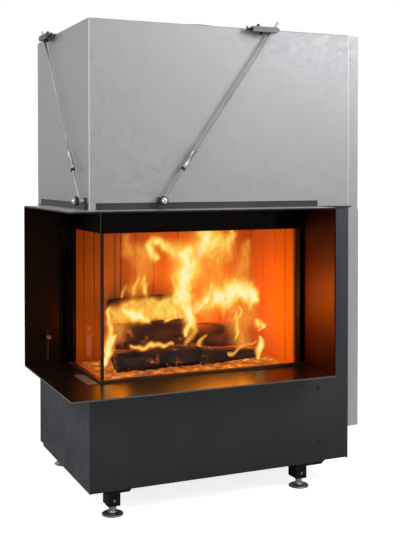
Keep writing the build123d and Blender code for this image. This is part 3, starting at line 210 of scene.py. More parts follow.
def tones(tree, value, *stops):
    """A colour ramp with stops of (position, colour) on a value."""
    ramp = add(tree, "ShaderNodeValToRGB", {"Fac": value})
    for _ in range(len(stops) - 2):
        ramp.color_ramp.elements.new(0.5)
    for element, (position, colour) in zip(ramp.color_ramp.elements, sorted(stops)):
        element.position = position
        element.color = (*colour, 1)
    return ramp.outputs[0]


def spread(tree, value, low, high, start=0.0, end=1.0):
    """A value from start to end spread between low and high."""
    return add(tree, "ShaderNodeMapRange", {"Value": value, "From Min": start, "From Max": end,
                                            "To Min": low, "To Max": high}).outputs[0]


def blend_colours(tree, share, first, second, kind="MIX"):
    """Two colours mixed by a share."""
    mix = add(tree, "ShaderNodeMix", {0: share}, data_type="RGBA", blend_type=kind)
    for socket, colour in ((mix.inputs[6], first), (mix.inputs[7], second)):
        fill(socket, (*colour, 1) if isinstance(colour, (tuple, list)) else colour)
    return mix.outputs[2]


def relief(tree, shader, height, strength, distance):
    """Fine surface relief from a value."""
    bump = add(tree, "ShaderNodeBump", {"Height": height, "Strength": strength,
                                        "Distance": distance})
    set_shader(shader, Normal=bump.outputs[0])


def zinc_finish(name, shade, highlight_folds=(), highlight_width=0.0026):
    """Galvanised sheet: crystals a centimetre or two across, streaks of rolling, and painted
    highlights along the given folds.
    """
    made, tree, shader, place = finish_of(name)
    flake = flakes_in(tree, place, 70.0)
    rolled = noise_in(tree, stretched(tree, place, (60, 60, 3)), 2.0, 4.0)
    streaky = sums(tree, "ADD", rolled, noise_in(tree, place, 6.0, 4.0))
    half = sums(tree, "MULTIPLY", streaky, 0.5)
    base = tones(tree, half, (0.3, times(shade, 0.95)), (0.7, times(shade, 1.03)))
    colour = blend_colours(tree, spread(tree, flake, 0.0, 0.07), base, (0.80, 0.82, 0.85))
    # Bright lines at the given folds are painted highlights.
    for fold in highlight_folds:
        fold_highlight = sums(tree, "COMPARE", part_of(tree, place, 0), fold, highlight_width)
        colour = blend_colours(tree, fold_highlight, colour, (0.86, 0.87, 0.89))
    set_shader(shader, Base_Color=colour, Roughness=spread(tree, flake, 0.40, 0.52),
               Metallic=0.62, Specular_IOR_Level=0.4)
    relief(tree, shader, noise_in(tree, place, 900.0, 2.0), 0.12, 0.0004)
    return made


def dress(material, *names):
    """Puts a finish on CAD nodes whose shape stays."""
    for name in names:
        for slot in nodes[name].material_slots:
            slot.material = material


def soften(radius, *names):
    """Rounds the sheet edges of CAD nodes by a small radius, as folds and cut edges are."""
    for name in names:
        weld = nodes[name].modifiers.new("weld", "WELD")
        weld.merge_threshold = 0.00002
        edge = nodes[name].modifiers.new("edge", "BEVEL")
        edge.width = radius
        edge.segments = 2
        edge.limit_method = "ANGLE"
        edge.angle_limit = math.radians(40)


zinc_shade = (0.485, 0.49, 0.505)
sheet_edge, plate_edge, block_edge = 0.0009, 0.0008, 0.0012
other_sheets = ("housing_left_sheet", "housing_right_sheet", "housing_rear_sheet",
                "housing_top_sheet")
front_low, front_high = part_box("housing_front_sheet")
# The front sheet's two edge folds carry painted highlights.
dress(zinc_finish("galvanised_front", zinc_shade, (front_low.x, front_high.x)),
      "housing_front_sheet")
dress(zinc_finish("galvanised_sheet", zinc_shade), *other_sheets)
soften(sheet_edge, "housing_front_sheet", *other_sheets)


# Casing of the right counterweight: a folded channel of the same sheet, screwed to the body's
# side, a touch paler to make up for the shade that it lies in.
dress(zinc_finish("casing_sheet", (0.50, 0.505, 0.52)), "weight_casing")
soften(sheet_edge, "weight_casing")


# Shadow frame: thick plates round the corner opening with a heat-proof satin black coating, whose
# reflections are tinted orange-red as painted fire light. The ledge is bare on its cut edges. The
# top plate is painted bright grey on top, a painted highlight; the reveal is dark steel tinted red,
# a painted reflection of the fire; and the upright flanges over the top plate are bare steel.
def black_finish(name, shade, roughness, gloss=0.2, grain=1400.0, depth=0.0001,
                 sheen=(1, 1, 1), painted_light_rise=0.0, painted_top_highlight=None, cut=None, painted_shade_above=None):
    """Stove coating: nearly black with a fine grain, its reflections tinted by a sheen colour. A
    rise paints it paler from the base's foot up to the frame's top, painted light; a top colour is
    painted where it looks up, a painted highlight; cut is its colour on upright edges; and from a
    given height up it is painted black, painted shade."""
    made, tree, shader, place = finish_of(name)
    cloudy = noise_in(tree, place, 9.0, 4.0)
    fine = noise_in(tree, place, grain, 2.0)
    colour = tones(tree, cloudy, (0.3, times(shade, 0.8)), (0.7, times(shade, 1.25)))
    colour = blend_colours(tree, spread(tree, fine, 0.0, 0.2), colour, times(shade, 1.8))
    # A rise paints the coating paler towards the top: painted light.
    if painted_light_rise:
        share = spread(tree, part_of(tree, place, 2), 0.0, 1.0, base_foot, frame_top)
        colour = blend_colours(tree, share, colour, times(shade, painted_light_rise))
    # Over a given height the coating is painted black: painted shade.
    if painted_shade_above:
        painted_shade_mask = sums(tree, "GREATER_THAN", part_of(tree, place, 2), painted_shade_above)
        colour = blend_colours(tree, painted_shade_mask, colour, (0.0015, 0.0012, 0.001))
    if painted_top_highlight or cut:
        upward = part_of(tree, add(tree, "ShaderNodeNewGeometry").outputs["Normal"], 2)
    # Faces that look up get a bright grey, metallic colour: a painted highlight.
    if painted_top_highlight:
        top = sums(tree, "GREATER_THAN", upward, looks_up)
        colour = blend_colours(tree, top, colour, painted_top_highlight)
        set_shader(shader, Metallic=top)
    if cut:
        edge = sums(tree, "COMPARE", upward, 0.0, looks_out)
        colour = blend_colours(tree, edge, colour, cut)
    set_shader(shader, Base_Color=colour, Specular_IOR_Level=gloss, Specular_Tint=(*sheen, 1),
               Roughness=spread(tree, cloudy, roughness - 0.05, roughness + 0.05))
    relief(tree, shader, fine, 0.12, depth)
    return made


def steel_finish(name, shade, roughness, metallic=0.85):
    """Bare steel: rolled grain, cloudy oxide and a few darker spots."""
    made, tree, shader, place = finish_of(name)
    cloudy = noise_in(tree, place, 14.0, 5.0, 0.6)
    rolled = noise_in(tree, stretched(tree, place, (4, 90, 90)), 5.0, 3.0)
    spots = noise_in(tree, place, 120.0, 3.0, 0.7)
    base = tones(tree, cloudy, (0.3, times(shade, 0.75)), (0.7, times(shade, 1.15)))
    colour = blend_colours(tree, spread(tree, rolled, 0.0, 0.35), base, times(shade, 0.7))
    dark = red_of(tree, tones(tree, spots, (0.62, black), (0.72, white)))
    colour = blend_colours(tree, spread(tree, dark, 0.0, 0.4), colour, times(shade, 0.4))
    set_shader(shader, Base_Color=colour, Metallic=metallic,
               Roughness=spread(tree, cloudy, roughness - 0.06, roughness + 0.08))
    relief(tree, shader, spots, 0.15, 0.0003)
    return made


black, white = (0, 0, 0), (1, 1, 1)
base_foot, frame_top = 0.08, 0.94
looks_up, looks_out = 0.8, 0.7
# Specular tints that colour the coatings' reflections orange-red: painted fire light.
painted_fire_tint, painted_ledge_fire_tint = (1.0, 0.42, 0.2), (1, 0.32, 0.12)
frame_shade = (0.0045, 0.0032, 0.0024)
coarse_grain, faint_depth = 500.0, 0.00002
frame_black = black_finish("frame_coating", frame_shade, 0.36, 0.12, coarse_grain, faint_depth,
                           painted_fire_tint)
dress(frame_black, "frame_rear_panel")
dress(black_finish("ledge_coating", frame_shade, 0.33, 0.15, sheen=painted_ledge_fire_tint,
                   cut=(0.13, 0.13, 0.135)), "frame_ledge")
# The reveal's dark red metal is a painted reflection of the fire.
dress(steel_finish("reveal_coating", (0.029, 0.0018, 0.0030), 0.44, 0.98), "frame_right_reveal")
# The top plate's grey upper faces are a painted highlight.
dress(black_finish("top_plate_coating", (0.016, 0.016, 0.017), 0.36, 0.3, painted_top_highlight=(0.5, 0.5, 0.51)),
      "frame_top_plate")
dress(steel_finish("flange_steel", (0.075, 0.077, 0.080), 0.45, 0.6), "edge_flanges")
soften(plate_edge, "frame_top_plate", "frame_ledge", "frame_right_reveal")


# Base: skirts and floor plate folded from sheet and coated a matt anthracite, on which the
# levelling feet's brackets are screwed. The coating is painted paler towards the top, painted
# light. The left skirt is a lighter copy of it, painted light, and from the ledge's height up it is
# painted black, painted shade, where it is seen through the slot of the air knob and no light
# reaches it.
base_shade, base_grain = (0.0185, 0.020, 0.0223), 1100.0
# The rise paints the base coating paler towards the top: painted light.
base_coat = black_finish("base_coating", base_shade, 0.5, 0.3, base_grain, painted_light_rise=4.3)
dress(base_coat, "base_front_panel", "base_right_panel", "base_rear_panel", "base_floor_plate")
# A lighter copy for the left skirt, painted light, painted black from the ledge up: painted shade.
dress(black_finish("left_base_coating", times(base_shade, 4.2), 0.6, 0.01, base_grain,
                   painted_shade_above=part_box("frame_ledge")[0].z), "base_left_panel")
dress(black_finish("bracket_coating", (0.005, 0.005, 0.005), 0.5, 0.15), "foot_brackets")
soften(plate_edge, "base_front_panel", "base_left_panel")


# Firebox: welded walls and lintels with the frame's black coating, as the guides and carriages
# have it, a dome, deck and collar of bare steel, and loose boards of pressed vermiculite, full of
# glittering flakes and pores, coloured a deep orange that is partly painted glow of the fire.
dress(steel_finish("mill_steel", (0.16, 0.16, 0.165), 0.5, 0.75), "smoke_dome", "firebox_deck",
      "flue_collar", "air_spigot", "air_flap", "pulley_hangers")
dress(frame_black, "firebox_walls", "firebox_lintels", "guide_rails", "air_slider",
      "door_carriages")
board, tree, shader, place = finish_of("fireclay_board")
flake = flakes_in(tree, place, 420.0)
# The boards' deep orange is partly painted fire glow, on top of their own warm tone.
board_and_fire_glow_tones = tones(tree, noise_in(tree, place, 5.0, 5.0, 0.6), (0.3, (0.31, 0.118, 0.008)),
                    (0.7, (0.36, 0.138, 0.010)))
set_shader(shader, Roughness=0.85, Specular_IOR_Level=0.2,
           Base_Color=blend_colours(tree, spread(tree, flake, 0.0, 0.3), board_and_fire_glow_tones,
                                    (0.42, 0.16, 0.02)))
relief(tree, shader, flake, 0.5, 0.0006)
linings = ("fireclay_back_panels", "fireclay_right_panels", "fireclay_floor_bricks")
dress(board, "baffle_plates", *linings)
soften(block_edge, *linings)


# Lifting door: two panes of glass ceramic glued at the free corner, thin channels of steel below,
# tinted brown as painted fire light, and stiles and top rails with a black coating whose
# reflections are tinted orange, painted fire light.
pane, tree, shader, place = finish_of("glass_ceramic")
smudge = noise_in(tree, place, 12.0, 4.0)
set_shader(shader, Base_Color=(0.9, 0.9, 0.88, 1), Metallic=1.0,
           Roughness=spread(tree, smudge, 0.02, 0.07))
clear = add(tree, "ShaderNodeBsdfTransparent", {"Color": (0.97, 0.96, 0.95, 1)})
facing = add(tree, "ShaderNodeLayerWeight", {"Blend": 0.5}).outputs["Facing"]
steep = sums(tree, "POWER", facing, 5.0)
both = add(tree, "ShaderNodeMixShader", {0: spread(tree, steep, 0.010, 0.5),
                                         1: clear.outputs[0], 2: shader.outputs[0]})
fill(tree.nodes["Material Output"].inputs["Surface"], both.outputs[0])
dress(pane, "door_front_glass", "door_side_glass")
dress(black_finish("door_coating", (0.0022, 0.002, 0.002), 0.42, 0.06, coarse_grain, faint_depth,
                   painted_fire_tint), "door_frame")
# The rails' brown metal is painted fire light.
dress(steel_finish("rail_painted_fire_tint", (0.16, 0.08, 0.04), 0.34, 0.8), "door_bottom_rails")


# Levelling feet: a turned steel disc and hexagon on a threaded spindle, screwed into a bracket.
# The thread is a fine ridge wound round the core.
def turned(shape, profile, steps=40, flutes=0, depth=0.0, ring=False):
    """Adds a turned solid about +Z from (radius, height) points, fluted at its full radius."""
    full = max(radius for radius, height in profile)
    rings = []
    for radius, height in profile:
        if radius < 1e-7:
            rings.append([shape.verts.new((0, 0, height))])
            continue
        points = []
        for i in range(steps):
            turn = 2 * math.pi * i / steps
            cut = depth * (0.5 - 0.5 * math.cos(flutes * turn)) if radius > 0.86 * full else 0.0
            reach = radius * (1 - cut)
            spot = (reach * math.cos(turn), reach * math.sin(turn), height)
            points.append(shape.verts.new(spot))
        rings.append(points)
    pairs = list(zip(rings, rings[1:])) + ([(rings[-1], rings[0])] if ring else [])
    for low, high in pairs:
        for i in range(steps):
            j = (i + 1) % steps
            if len(low) == 1 and len(high) > 1:
                shape.faces.new((low[0], high[j], high[i]))
            elif len(high) == 1 and len(low) > 1:
                shape.faces.new((low[i], low[j], high[0]))
            elif len(low) > 1:
                shape.faces.new((low[i], low[j], high[j], high[i]))
    return [vert for points in rings for vert in points]


def at(x, y, z):
    """A move by x, y and z."""
    return Matrix.Translation((x, y, z))


def put(shape, verts, place):
    """Moves part of a mesh in the making by a matrix."""
    bmesh.ops.transform(shape, matrix=place, verts=verts)


def settle(name, mesh, material, body, replaced=(), angle=35.0):
    """A finished piece: smooth between sharp edges, on its body, with its slot."""
    mesh.shade_smooth()
    mesh.set_sharp_from_angle(angle=math.radians(angle))
    mesh.materials.clear()
    mesh.materials.append(material)
    mesh.polygons.foreach_set("material_index", [0] * len(mesh.polygons))
    piece = shown(name, mesh)
    if body:
        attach(piece, body)
    if replaced:
        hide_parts(*replaced)
    return piece


def solid(name, shape, material, body, replaced=(), angle=35.0):
    """A finished piece from a mesh in the making, with its faces turned outwards."""
    bmesh.ops.remove_doubles(shape, verts=shape.verts, dist=1e-6)
    bmesh.ops.recalc_face_normals(shape, faces=shape.faces)
    return settle(name, mesh_of(name, shape), material, body, replaced, angle)


def grown(name, seed, make, **sizes):
    """The plain mesh that a Geometry Nodes tree makes from a seed mesh and named sizes."""
    group = bpy.data.node_groups.new(name, "GeometryNodeTree")
    kinds = {int: "NodeSocketInt", float: "NodeSocketFloat", bpy.types.Object: "NodeSocketObject",
             bpy.types.Material: "NodeSocketMaterial"}
    for way in ("INPUT", "OUTPUT"):
        group.interface.new_socket("Geometry", in_out=way, socket_type="NodeSocketGeometry")
    for key, value in sizes.items():
        group.interface.new_socket(key, in_out="INPUT", socket_type=kinds[type(value)])
    given = group.nodes.new("NodeGroupInput").outputs
    real = add(group, "GeometryNodeRealizeInstances", {0: make(group, given)})
    coat = add(group, "GeometryNodeSetMaterial", {"Geometry": real.outputs[0],
                                                  "Material": given["Coat"]})
    add(group, "NodeGroupOutput", {0: coat.outputs[0]})
    base = shown(name + "_seed", seed)
    grow = base.modifiers.new("grow", "NODES")
    grow.node_group = group
    for item in group.interface.items_tree:
        if item.in_out == "INPUT" and item.name in sizes:
            grow[item.identifier] = sizes[item.name]
    bpy.context.view_layer.update()
    ready = base.evaluated_get(bpy.context.evaluated_depsgraph_get())
    mesh = bpy.data.meshes.new_from_object(ready)
    mesh.name = name
    bpy.data.objects.remove(base)
    return mesh


def points_mesh(name, *points):
    """A mesh of loose points, each with the direction that its instance looks along."""
    mesh = bpy.data.meshes.new(name)
    mesh.from_pydata([place for place, way in points], [], [])
    ways = mesh.attributes.new("way", "FLOAT_VECTOR", "POINT")
    for item, (place, way) in zip(ways.data, points):
        item.vector = way
    return mesh


def at_points(group, points, instance):
    """The instance at each point, its Z turned along the point's direction."""
    way = add(group, "GeometryNodeInputNamedAttribute", {"Name": "way"}, data_type="FLOAT_VECTOR")
    turn = add(group, "FunctionNodeAlignRotationToVector", {"Vector": way.outputs[0]}, axis="Z")
    return add(group, "GeometryNodeInstanceOnPoints", {"Points": points, "Instance": instance,
                                                       "Rotation": turn.outputs[0]}).outputs[0]


def rod_along(group, curve, sides, radius):
    """A round rod along each curve, closed at its ends."""
    rim = add(group, "GeometryNodeCurvePrimitiveCircle", {"Resolution": sides, "Radius": radius})
    return add(group, "GeometryNodeCurveToMesh", {"Curve": curve, "Profile Curve": rim.outputs[0],
                                                  "Fill Caps": True}).outputs[0]


def thread_tree(group, given):
    """A thread: a thin ridge wound up from each point."""
    coil = add(group, "GeometryNodeCurveSpiral", {
        "Resolution": 20, "Rotations": sums(group, "DIVIDE", given["Length"], given["Pitch"]),
        "Start Radius": given["Radius"], "End Radius": given["Radius"],
        "Height": given["Length"]})
    wound = rod_along(group, coil.outputs[0], 4, given["Ridge"])
    return at_points(group, given["Geometry"], wound)


foot_steel = steel_finish("foot_zinc_plate", (0.36, 0.36, 0.35), 0.38, 1.0)
foot_profile = ((0, 0), (0.0325, 0), (0.0338, 0.0009), (0.0338, 0.0032), (0.0325, 0.0046),
                (0.0306, 0.0058), (0.0295, 0.0052), (0.0160, 0.0060), (0.0122, 0.0075),
                (0.0098, 0.0110), (0.0092, 0.0150), (0, 0.0150))
nut_profile = ((0, 0.0150), (0.0105, 0.0150), (0.0126, 0.0162), (0.0126, 0.0284),
               (0.0105, 0.0296), (0, 0.0296))
core_profile = ((0, 0.0290), (0.0063, 0.0290), (0.0063, 0.1488), (0.0055, 0.1500), (0, 0.1500))
thread_z = 0.031
for corner in ("front_left", "front_right", "rear_left", "rear_right"):
    low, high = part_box("foot_" + corner)
    middle = ((low.x + high.x) / 2, (low.y + high.y) / 2)
    foot = bmesh.new()
    parts = turned(foot, foot_profile, 64) + turned(foot, nut_profile, 6)
    parts += turned(foot, core_profile, 32)
    put(foot, parts, at(*middle, 0))
    ridge = grown("foot_thread_" + corner, points_mesh("spindle", ((*middle, thread_z), (0, 0, 1))),
                  thread_tree, Length=0.117, Pitch=0.002, Radius=0.0064, Ridge=0.00055,
                  Coat=foot_steel)
    foot.from_mesh(ridge)
    solid("levelling_foot_" + corner, foot, foot_steel, "foot_" + corner,
          ["foot_" + corner], 40)


# Fasteners on the skirts: black button screws with a hexagon socket, and plated hexagon bolts
# that hold the feet's brackets. Each kind is one head, set on its own points.
def head_tree(group, given):
    """One head at each point."""
    head = add(group, "GeometryNodeObjectInfo", {"Object": given["Head"], "As Instance": True})
    return at_points(group, given["Geometry"], head.outputs["Geometry"])


def heads(name, make_head, material, points, replaced=()):
    """Like fastener heads on the insert, each made of the same turned head."""
    shape = bmesh.new()
    make_head(shape)
    bmesh.ops.recalc_face_normals(shape, faces=shape.faces)
    head = bpy.data.objects.new(name + "_head", mesh_of(name + "_head", shape))
    mesh = grown(name, points_mesh(name + "_points", *points), head_tree, Head=head, Coat=material)
    bpy.data.objects.remove(head)
    return settle(name, mesh, material, "insert", replaced)


def button_head(shape):
    """Domed head with a hexagon socket, 12 mm across."""
    turned(shape, ((0, 0), (0.0057, 0), (0.0060, 0.0006), (0.0055, 0.0017), (0.0042, 0.0026),
                   (0.0027, 0.0029)), 32)
    rim = [vert for vert in shape.verts if vert.co.z > 0.00285]
    socket = turned(shape, ((0, 0.0012), (0.0019, 0.0012), (0.0019, 0.0029)), 6)
    top = [vert for vert in socket if vert.co.z > 0.0028]
    edges = [edge for edge in shape.edges if all(vert in rim + top for vert in edge.verts)]
    bmesh.ops.bridge_loops(shape, edges=edges)


def bolt_head(shape):
    """Hexagon head with chamfered corners on its washer face, 8 mm across."""
    turned(shape, ((0, 0), (0.0039, 0), (0.0039, 0.0005), (0.0034, 0.0005)), 32)
    turned(shape, ((0, 0.0004), (0.0037, 0.0004), (0.0039, 0.0008), (0.0039, 0.0024),
                   (0.0032, 0.0030), (0, 0.0030)), 6)


front_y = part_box("base_front_panel")[0].y
left_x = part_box("base_left_panel")[0].x
bracket_low, bracket_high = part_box("foot_brackets")
foot_left_x, foot_right_x, bolt_z = -0.358, 0.302, 0.047
screw_x, screw_y = 0.365, 0.236
button_black = black_finish("button_screw", (0.004, 0.004, 0.004), 0.22, 0.5)
heads("skirt_screws", button_head, button_black,
      (((screw_x, front_y, 0.154), (0, -1, 0)), ((screw_x, front_y, 0.330), (0, -1, 0)),
       ((left_x, screw_y, 0.155), (-1, 0, 0))), replaced=["body_screws"])
heads("bracket_bolts", bolt_head, foot_steel,
      [((x, y, bolt_z), (0, way, 0)) for x in (foot_left_x, foot_right_x)
       for y, way in ((bracket_low.y, -1), (bracket_high.y, 1))])


# Transport struts: zinc-plated rods with a turnbuckle sleeve and a black locknut, held below by a
# stud with a black fluted knob and a dome nut, above by a clamp with a wing screw on the
# housing's top edge.
def on_side(side, place):
    """From the front strut's own frame (along, inwards, up) to the front or the left face."""
    swap = Matrix(((0, 1, 0, 0), (1, 0, 0, 0), (0, 0, 1, 0), (0, 0, 0, 1)))
    return at(*body_corner) @ (swap if side == "left" else Matrix.Identity(4)) @ place


def about(axis, degrees):
    """A turn about an axis."""
    return Matrix.Rotation(math.radians(degrees), 4, axis)


zinc_bright = steel_finish("strut_zinc_plate", (0.52, 0.52, 0.53), 0.3, 1.0)
chrome = steel_finish("dome_nut_chrome", (0.78, 0.78, 0.80), 0.12, 1.0)
knob_black = black_finish("knob_plastic", (0.008, 0.008, 0.009), 0.3, 0.45)
dress(zinc_bright, "strut_rods")
dress(steel_finish("clamp_steel", (0.17, 0.17, 0.18), 0.34, 0.9), "strut_clamps")
soften(0.0015, "strut_clamps")
outwards = about("X", 90)
knob_profile = ((0, 0), (0.0105, 0), (0.0138, 0.0012), (0.0145, 0.0028), (0.0145, 0.0096),
                (0.0136, 0.0110), (0.0118, 0.0118), (0, 0.0118))
dome_profile = ((0, 0), (0.0103, 0), (0.0105, 0.0010), (0.0098, 0.0024), (0.0091, 0.0046),
                (0.0076, 0.0070), (0.0052, 0.0092), (0.0025, 0.0102), (0, 0.0105))
stud_profile = ((0, 0), (0.0070, 0), (0.0070, 0.0086), (0.0064, 0.0089), (0.0039, 0.0089),
                (0.0039, 0.0271), (0, 0.0271))
bore = 0.00405
sleeve_profile = ((bore, 0.125), (0.0062, 0.125), (0.0075, 0.1263), (0.0075, 0.1385),
                  (0.0071, 0.1392), (0.0071, 0.1808), (0.0075, 0.1815), (0.0075, 0.1937),
                  (0.0062, 0.195), (bore, 0.195))
locknut_profile = ((bore, 0.1172), (0.0070, 0.1172), (0.0076, 0.1180), (0.0076, 0.1236),
                   (0.0070, 0.1244), (bore, 0.1244))
wing_profile = ((0, 0), (0.0039, 0), (0.0039, 0.0165), (0.0030, 0.0170), (0, 0.0170))
cap_profile = ((0, 0), (0.0046, 0), (0.0050, 0.0012), (0.0050, 0.0074), (0.0042, 0.0088),
               (0, 0.0090))
body_corner = (-0.439, -0.268, 0)
strut_y, stud_z, clamp_z = -0.018, 0.970, 1.511
wing_x, wing_z, ear_x, ear_size = -0.071, 0.0085, -0.007, (0.0138, 0.0039, 0.0038)
knobs, bolts, loose = bmesh.new(), bmesh.new(), bmesh.new()
threads = []
for side, stud_x, clamp_x in (("front", 0.232, 0.611), ("left", 0.036, 0.457)):
    stud_at = at(stud_x, strut_y, stud_z)
    for shape, profile, steps, flutes, depth, inwards in (
            (knobs, knob_profile, 96, 24, 0.07, -0.0044),
            (bolts, dome_profile, 40, 0, 0.0, -0.0163),
            (bolts, stud_profile, 32, 0, 0.0, 0.0130)):
        put(shape, turned(shape, profile, steps, flutes, depth),
            on_side(side, stud_at @ at(0, inwards, 0) @ outwards))

    lean = math.atan2(clamp_x - stud_x, clamp_z - stud_z)
    leaning = on_side(side, stud_at @ Matrix.Rotation(lean, 4, "Y"))
    sleeve = bmesh.new()
    put(sleeve, turned(sleeve, sleeve_profile, 40, ring=True), leaning)
    solid("turnbuckle_sleeve_" + side, sleeve, zinc_bright, "sleeve_" + side,
          ["strut_sleeve_" + side])
    nut = bmesh.new()
    put(nut, turned(nut, locknut_profile, 6, ring=True), leaning)
    solid("sleeve_locknut_" + side, nut, knob_black, "insert")
    way = leaning.to_3x3() @ Vector((0, 0, 1))
    threads += [(leaning @ Vector((0, 0, start)), way) for start in (0.088, 0.196)]

    clamp_at = at(clamp_x, strut_y, clamp_z)
    put(loose, turned(loose, wing_profile, 24),
        on_side(side, clamp_at @ at(wing_x, 0, wing_z) @ about("Y", -90)))
    for tilt in (-35, 35):
        ear = bmesh.ops.create_cube(loose, size=1.0)["verts"]
        put(loose, ear, at(ear_x, 0, 0) @ Matrix.Diagonal((*ear_size, 1)))
        for vert in ear:
            vert.co.z *= 1.0 if vert.co.x < ear_x else 0.6
        put(loose, ear, on_side(side, clamp_at @ at(wing_x - 0.0085, 0, wing_z)
                                @ about("Y", tilt)))
    for across, up in ((0.024, 0.017), (0.034, -0.009)):
        put(loose, turned(loose, cap_profile, 48, 12, 0.10),
            on_side(side, clamp_at @ at(wing_x + across, 0, up)))

solid("strut_fluted_knobs", knobs, knob_black, "insert", ["strut_knobs"], 30)
solid("strut_dome_nuts", bolts, chrome, "insert", ["strut_bolts"])
solid("clamp_wing_screws", loose, knob_black, "insert", ["clamp_screws"])
thread_mesh = grown("strut_threads", points_mesh("thread_starts", *threads), thread_tree,
                    Length=0.036, Pitch=0.00125, Radius=0.0040, Ridge=0.00030, Coat=zinc_bright)
settle("strut_threads", thread_mesh, zinc_bright, "insert")


# Air control: a turned knob with a dished face on a stem through the slotted panel; it slides up
# and down with the strip behind the panel.
low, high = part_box("air_knob")
air = bmesh.new()
put(air, turned(air, (
    (0, 0), (0.0039, 0), (0.0039, 0.0225), (0.0062, 0.0232), (0.0072, 0.0250), (0.0079, 0.0280),
    (0.0079, 0.0345), (0.0070, 0.0367), (0.0058, 0.0369), (0.0046, 0.0352), (0, 0.0345)), 48),
    at((low.x + high.x) / 2, high.y, (low.z + high.z) / 2) @ outwards)
knob_steel = steel_finish("air_knob_steel", (0.19, 0.16, 0.15), 0.42, 0.8)
solid("air_turned_knob", air, knob_steel, "air_control", ["air_knob"])


# Rope seals behind the door frame and the lifting cables: strands laid round a path. The cables
# shorten or lengthen as the door goes up; here their runs are built once, where they hang at rest.
def strand_tree(group, given):
    """Round strands laid in a helix round each path."""
    path = add(group, "GeometryNodeMeshToCurve", {0: given["Geometry"]})
    fine = add(group, "GeometryNodeResampleCurve", {"Curve": path.outputs[0],
                                                    "Length": given["Step"]}, mode="LENGTH")
    many = add(group, "GeometryNodeDuplicateElements", {"Geometry": fine.outputs[0],
                                                        "Amount": given["Strands"]},
               domain="SPLINE")
    stored = add(group, "GeometryNodeCaptureAttribute", {"Geometry": many.outputs["Geometry"]})
    stored.capture_items.new("INT", "strand")
    fill(stored.inputs[1], many.outputs["Duplicate Index"])
    share = sums(group, "DIVIDE", stored.outputs[1], given["Strands"])
    run = add(group, "GeometryNodeSplineParameter").outputs["Length"]
    turns = sums(group, "ADD", sums(group, "DIVIDE", run, given["Lay"]), share)
    angle = sums(group, "MULTIPLY", turns, 2 * math.pi)
    normal = add(group, "GeometryNodeInputNormal").outputs[0]
    tangent = add(group, "GeometryNodeInputTangent").outputs[0]
    side = add(group, "ShaderNodeVectorMath", {0: tangent, 1: normal}, operation="CROSS_PRODUCT")
    offsets = []
    for kind, direction in (("COSINE", normal), ("SINE", side.outputs[0])):
        reach = sums(group, "MULTIPLY", sums(group, kind, angle), given["Reach"])
        offsets.append(add(group, "ShaderNodeVectorMath", {0: direction, "Scale": reach},
                           operation="SCALE").outputs[0])
    both = add(group, "ShaderNodeVectorMath", {0: offsets[0], 1: offsets[1]}, operation="ADD")
    laid = add(group, "GeometryNodeSetPosition", {"Geometry": stored.outputs[0],
                                                  "Offset": both.outputs[0]})
    return rod_along(group, laid.outputs[0], 6, given["Strand"])


def path_mesh(name, *paths):
    """Open paths as edges."""
    mesh = bpy.data.meshes.new(name)
    points = [point for path in paths for point in path]
    edges, start = [], 0
    for path in paths:
        edges += [(start + i, start + i + 1) for i in range(len(path) - 1)]
        start += len(path)
    mesh.from_pydata(points, edges, [])
    return mesh


def cable(name, replaced, *paths):
    """One stranded cable along its paths, not yet set on a body."""
    mesh = grown(name, path_mesh(name + "_path", *paths), strand_tree, Step=0.002, Strands=6,
                 Lay=0.018, Reach=0.0013, Strand=0.00068, Coat=cable_steel)
    return settle(name, mesh, cable_steel, None, replaced)


def bend(middle, radius, across, start, end, steps=24):
    """Points on an arc in the plane of a direction and Z, by degrees."""
    out = []
    for i in range(steps + 1):
        turn = math.radians(start + (end - start) * i / steps)
        out.append(tuple(Vector(middle) + Vector(across) * radius * math.cos(turn)
                         + Vector((0, 0, radius * math.sin(turn)))))
    return out


cable_steel = steel_finish("cable_wire", (0.42, 0.42, 0.43), 0.35, 0.95)
pulley_z, rear_radius, side_radius = 1.462, 0.043, 0.025
side_cable, side_weight, side_y = 0.366, 0.5035, -0.177
rear_x, rear_cable, rear_weight = -0.393, 0.179, 0.265
carriage_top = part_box("door_carriages")[1].z
eye_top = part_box("counterweight_rear")[1].z
door_runs = cable("cable_door_runs", ["cables_door_side"],
                  ((side_cable, side_y, pulley_z), (side_cable, side_y, carriage_top)),
                  ((rear_x, rear_cable, pulley_z), (rear_x, rear_cable, carriage_top)))
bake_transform(door_runs)
right_run = cable("cable_right_weight_run", ["cables_weight_side"],
                  ((side_weight, side_y, pulley_z), (side_weight, side_y, eye_top)))
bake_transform(right_run)
rear_run = cable("cable_rear_weight_run", [],
                 ((rear_x, rear_weight, pulley_z), (rear_x, rear_weight, eye_top)))
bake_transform(rear_run)
over_rear = bend((rear_x, (rear_cable + rear_weight) / 2, pulley_z), rear_radius, (0, 1, 0), 180, 0)
over_side = bend((side_cable + side_radius, side_y, pulley_z), side_radius, (1, 0, 0), 180, 90)
over_side += bend((side_weight - side_radius, side_y, pulley_z), side_radius, (1, 0, 0), 90, 0)
over = cable("cable_over_pulleys", ["cables_over_pulleys"], over_rear, over_side)
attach(over, "insert")

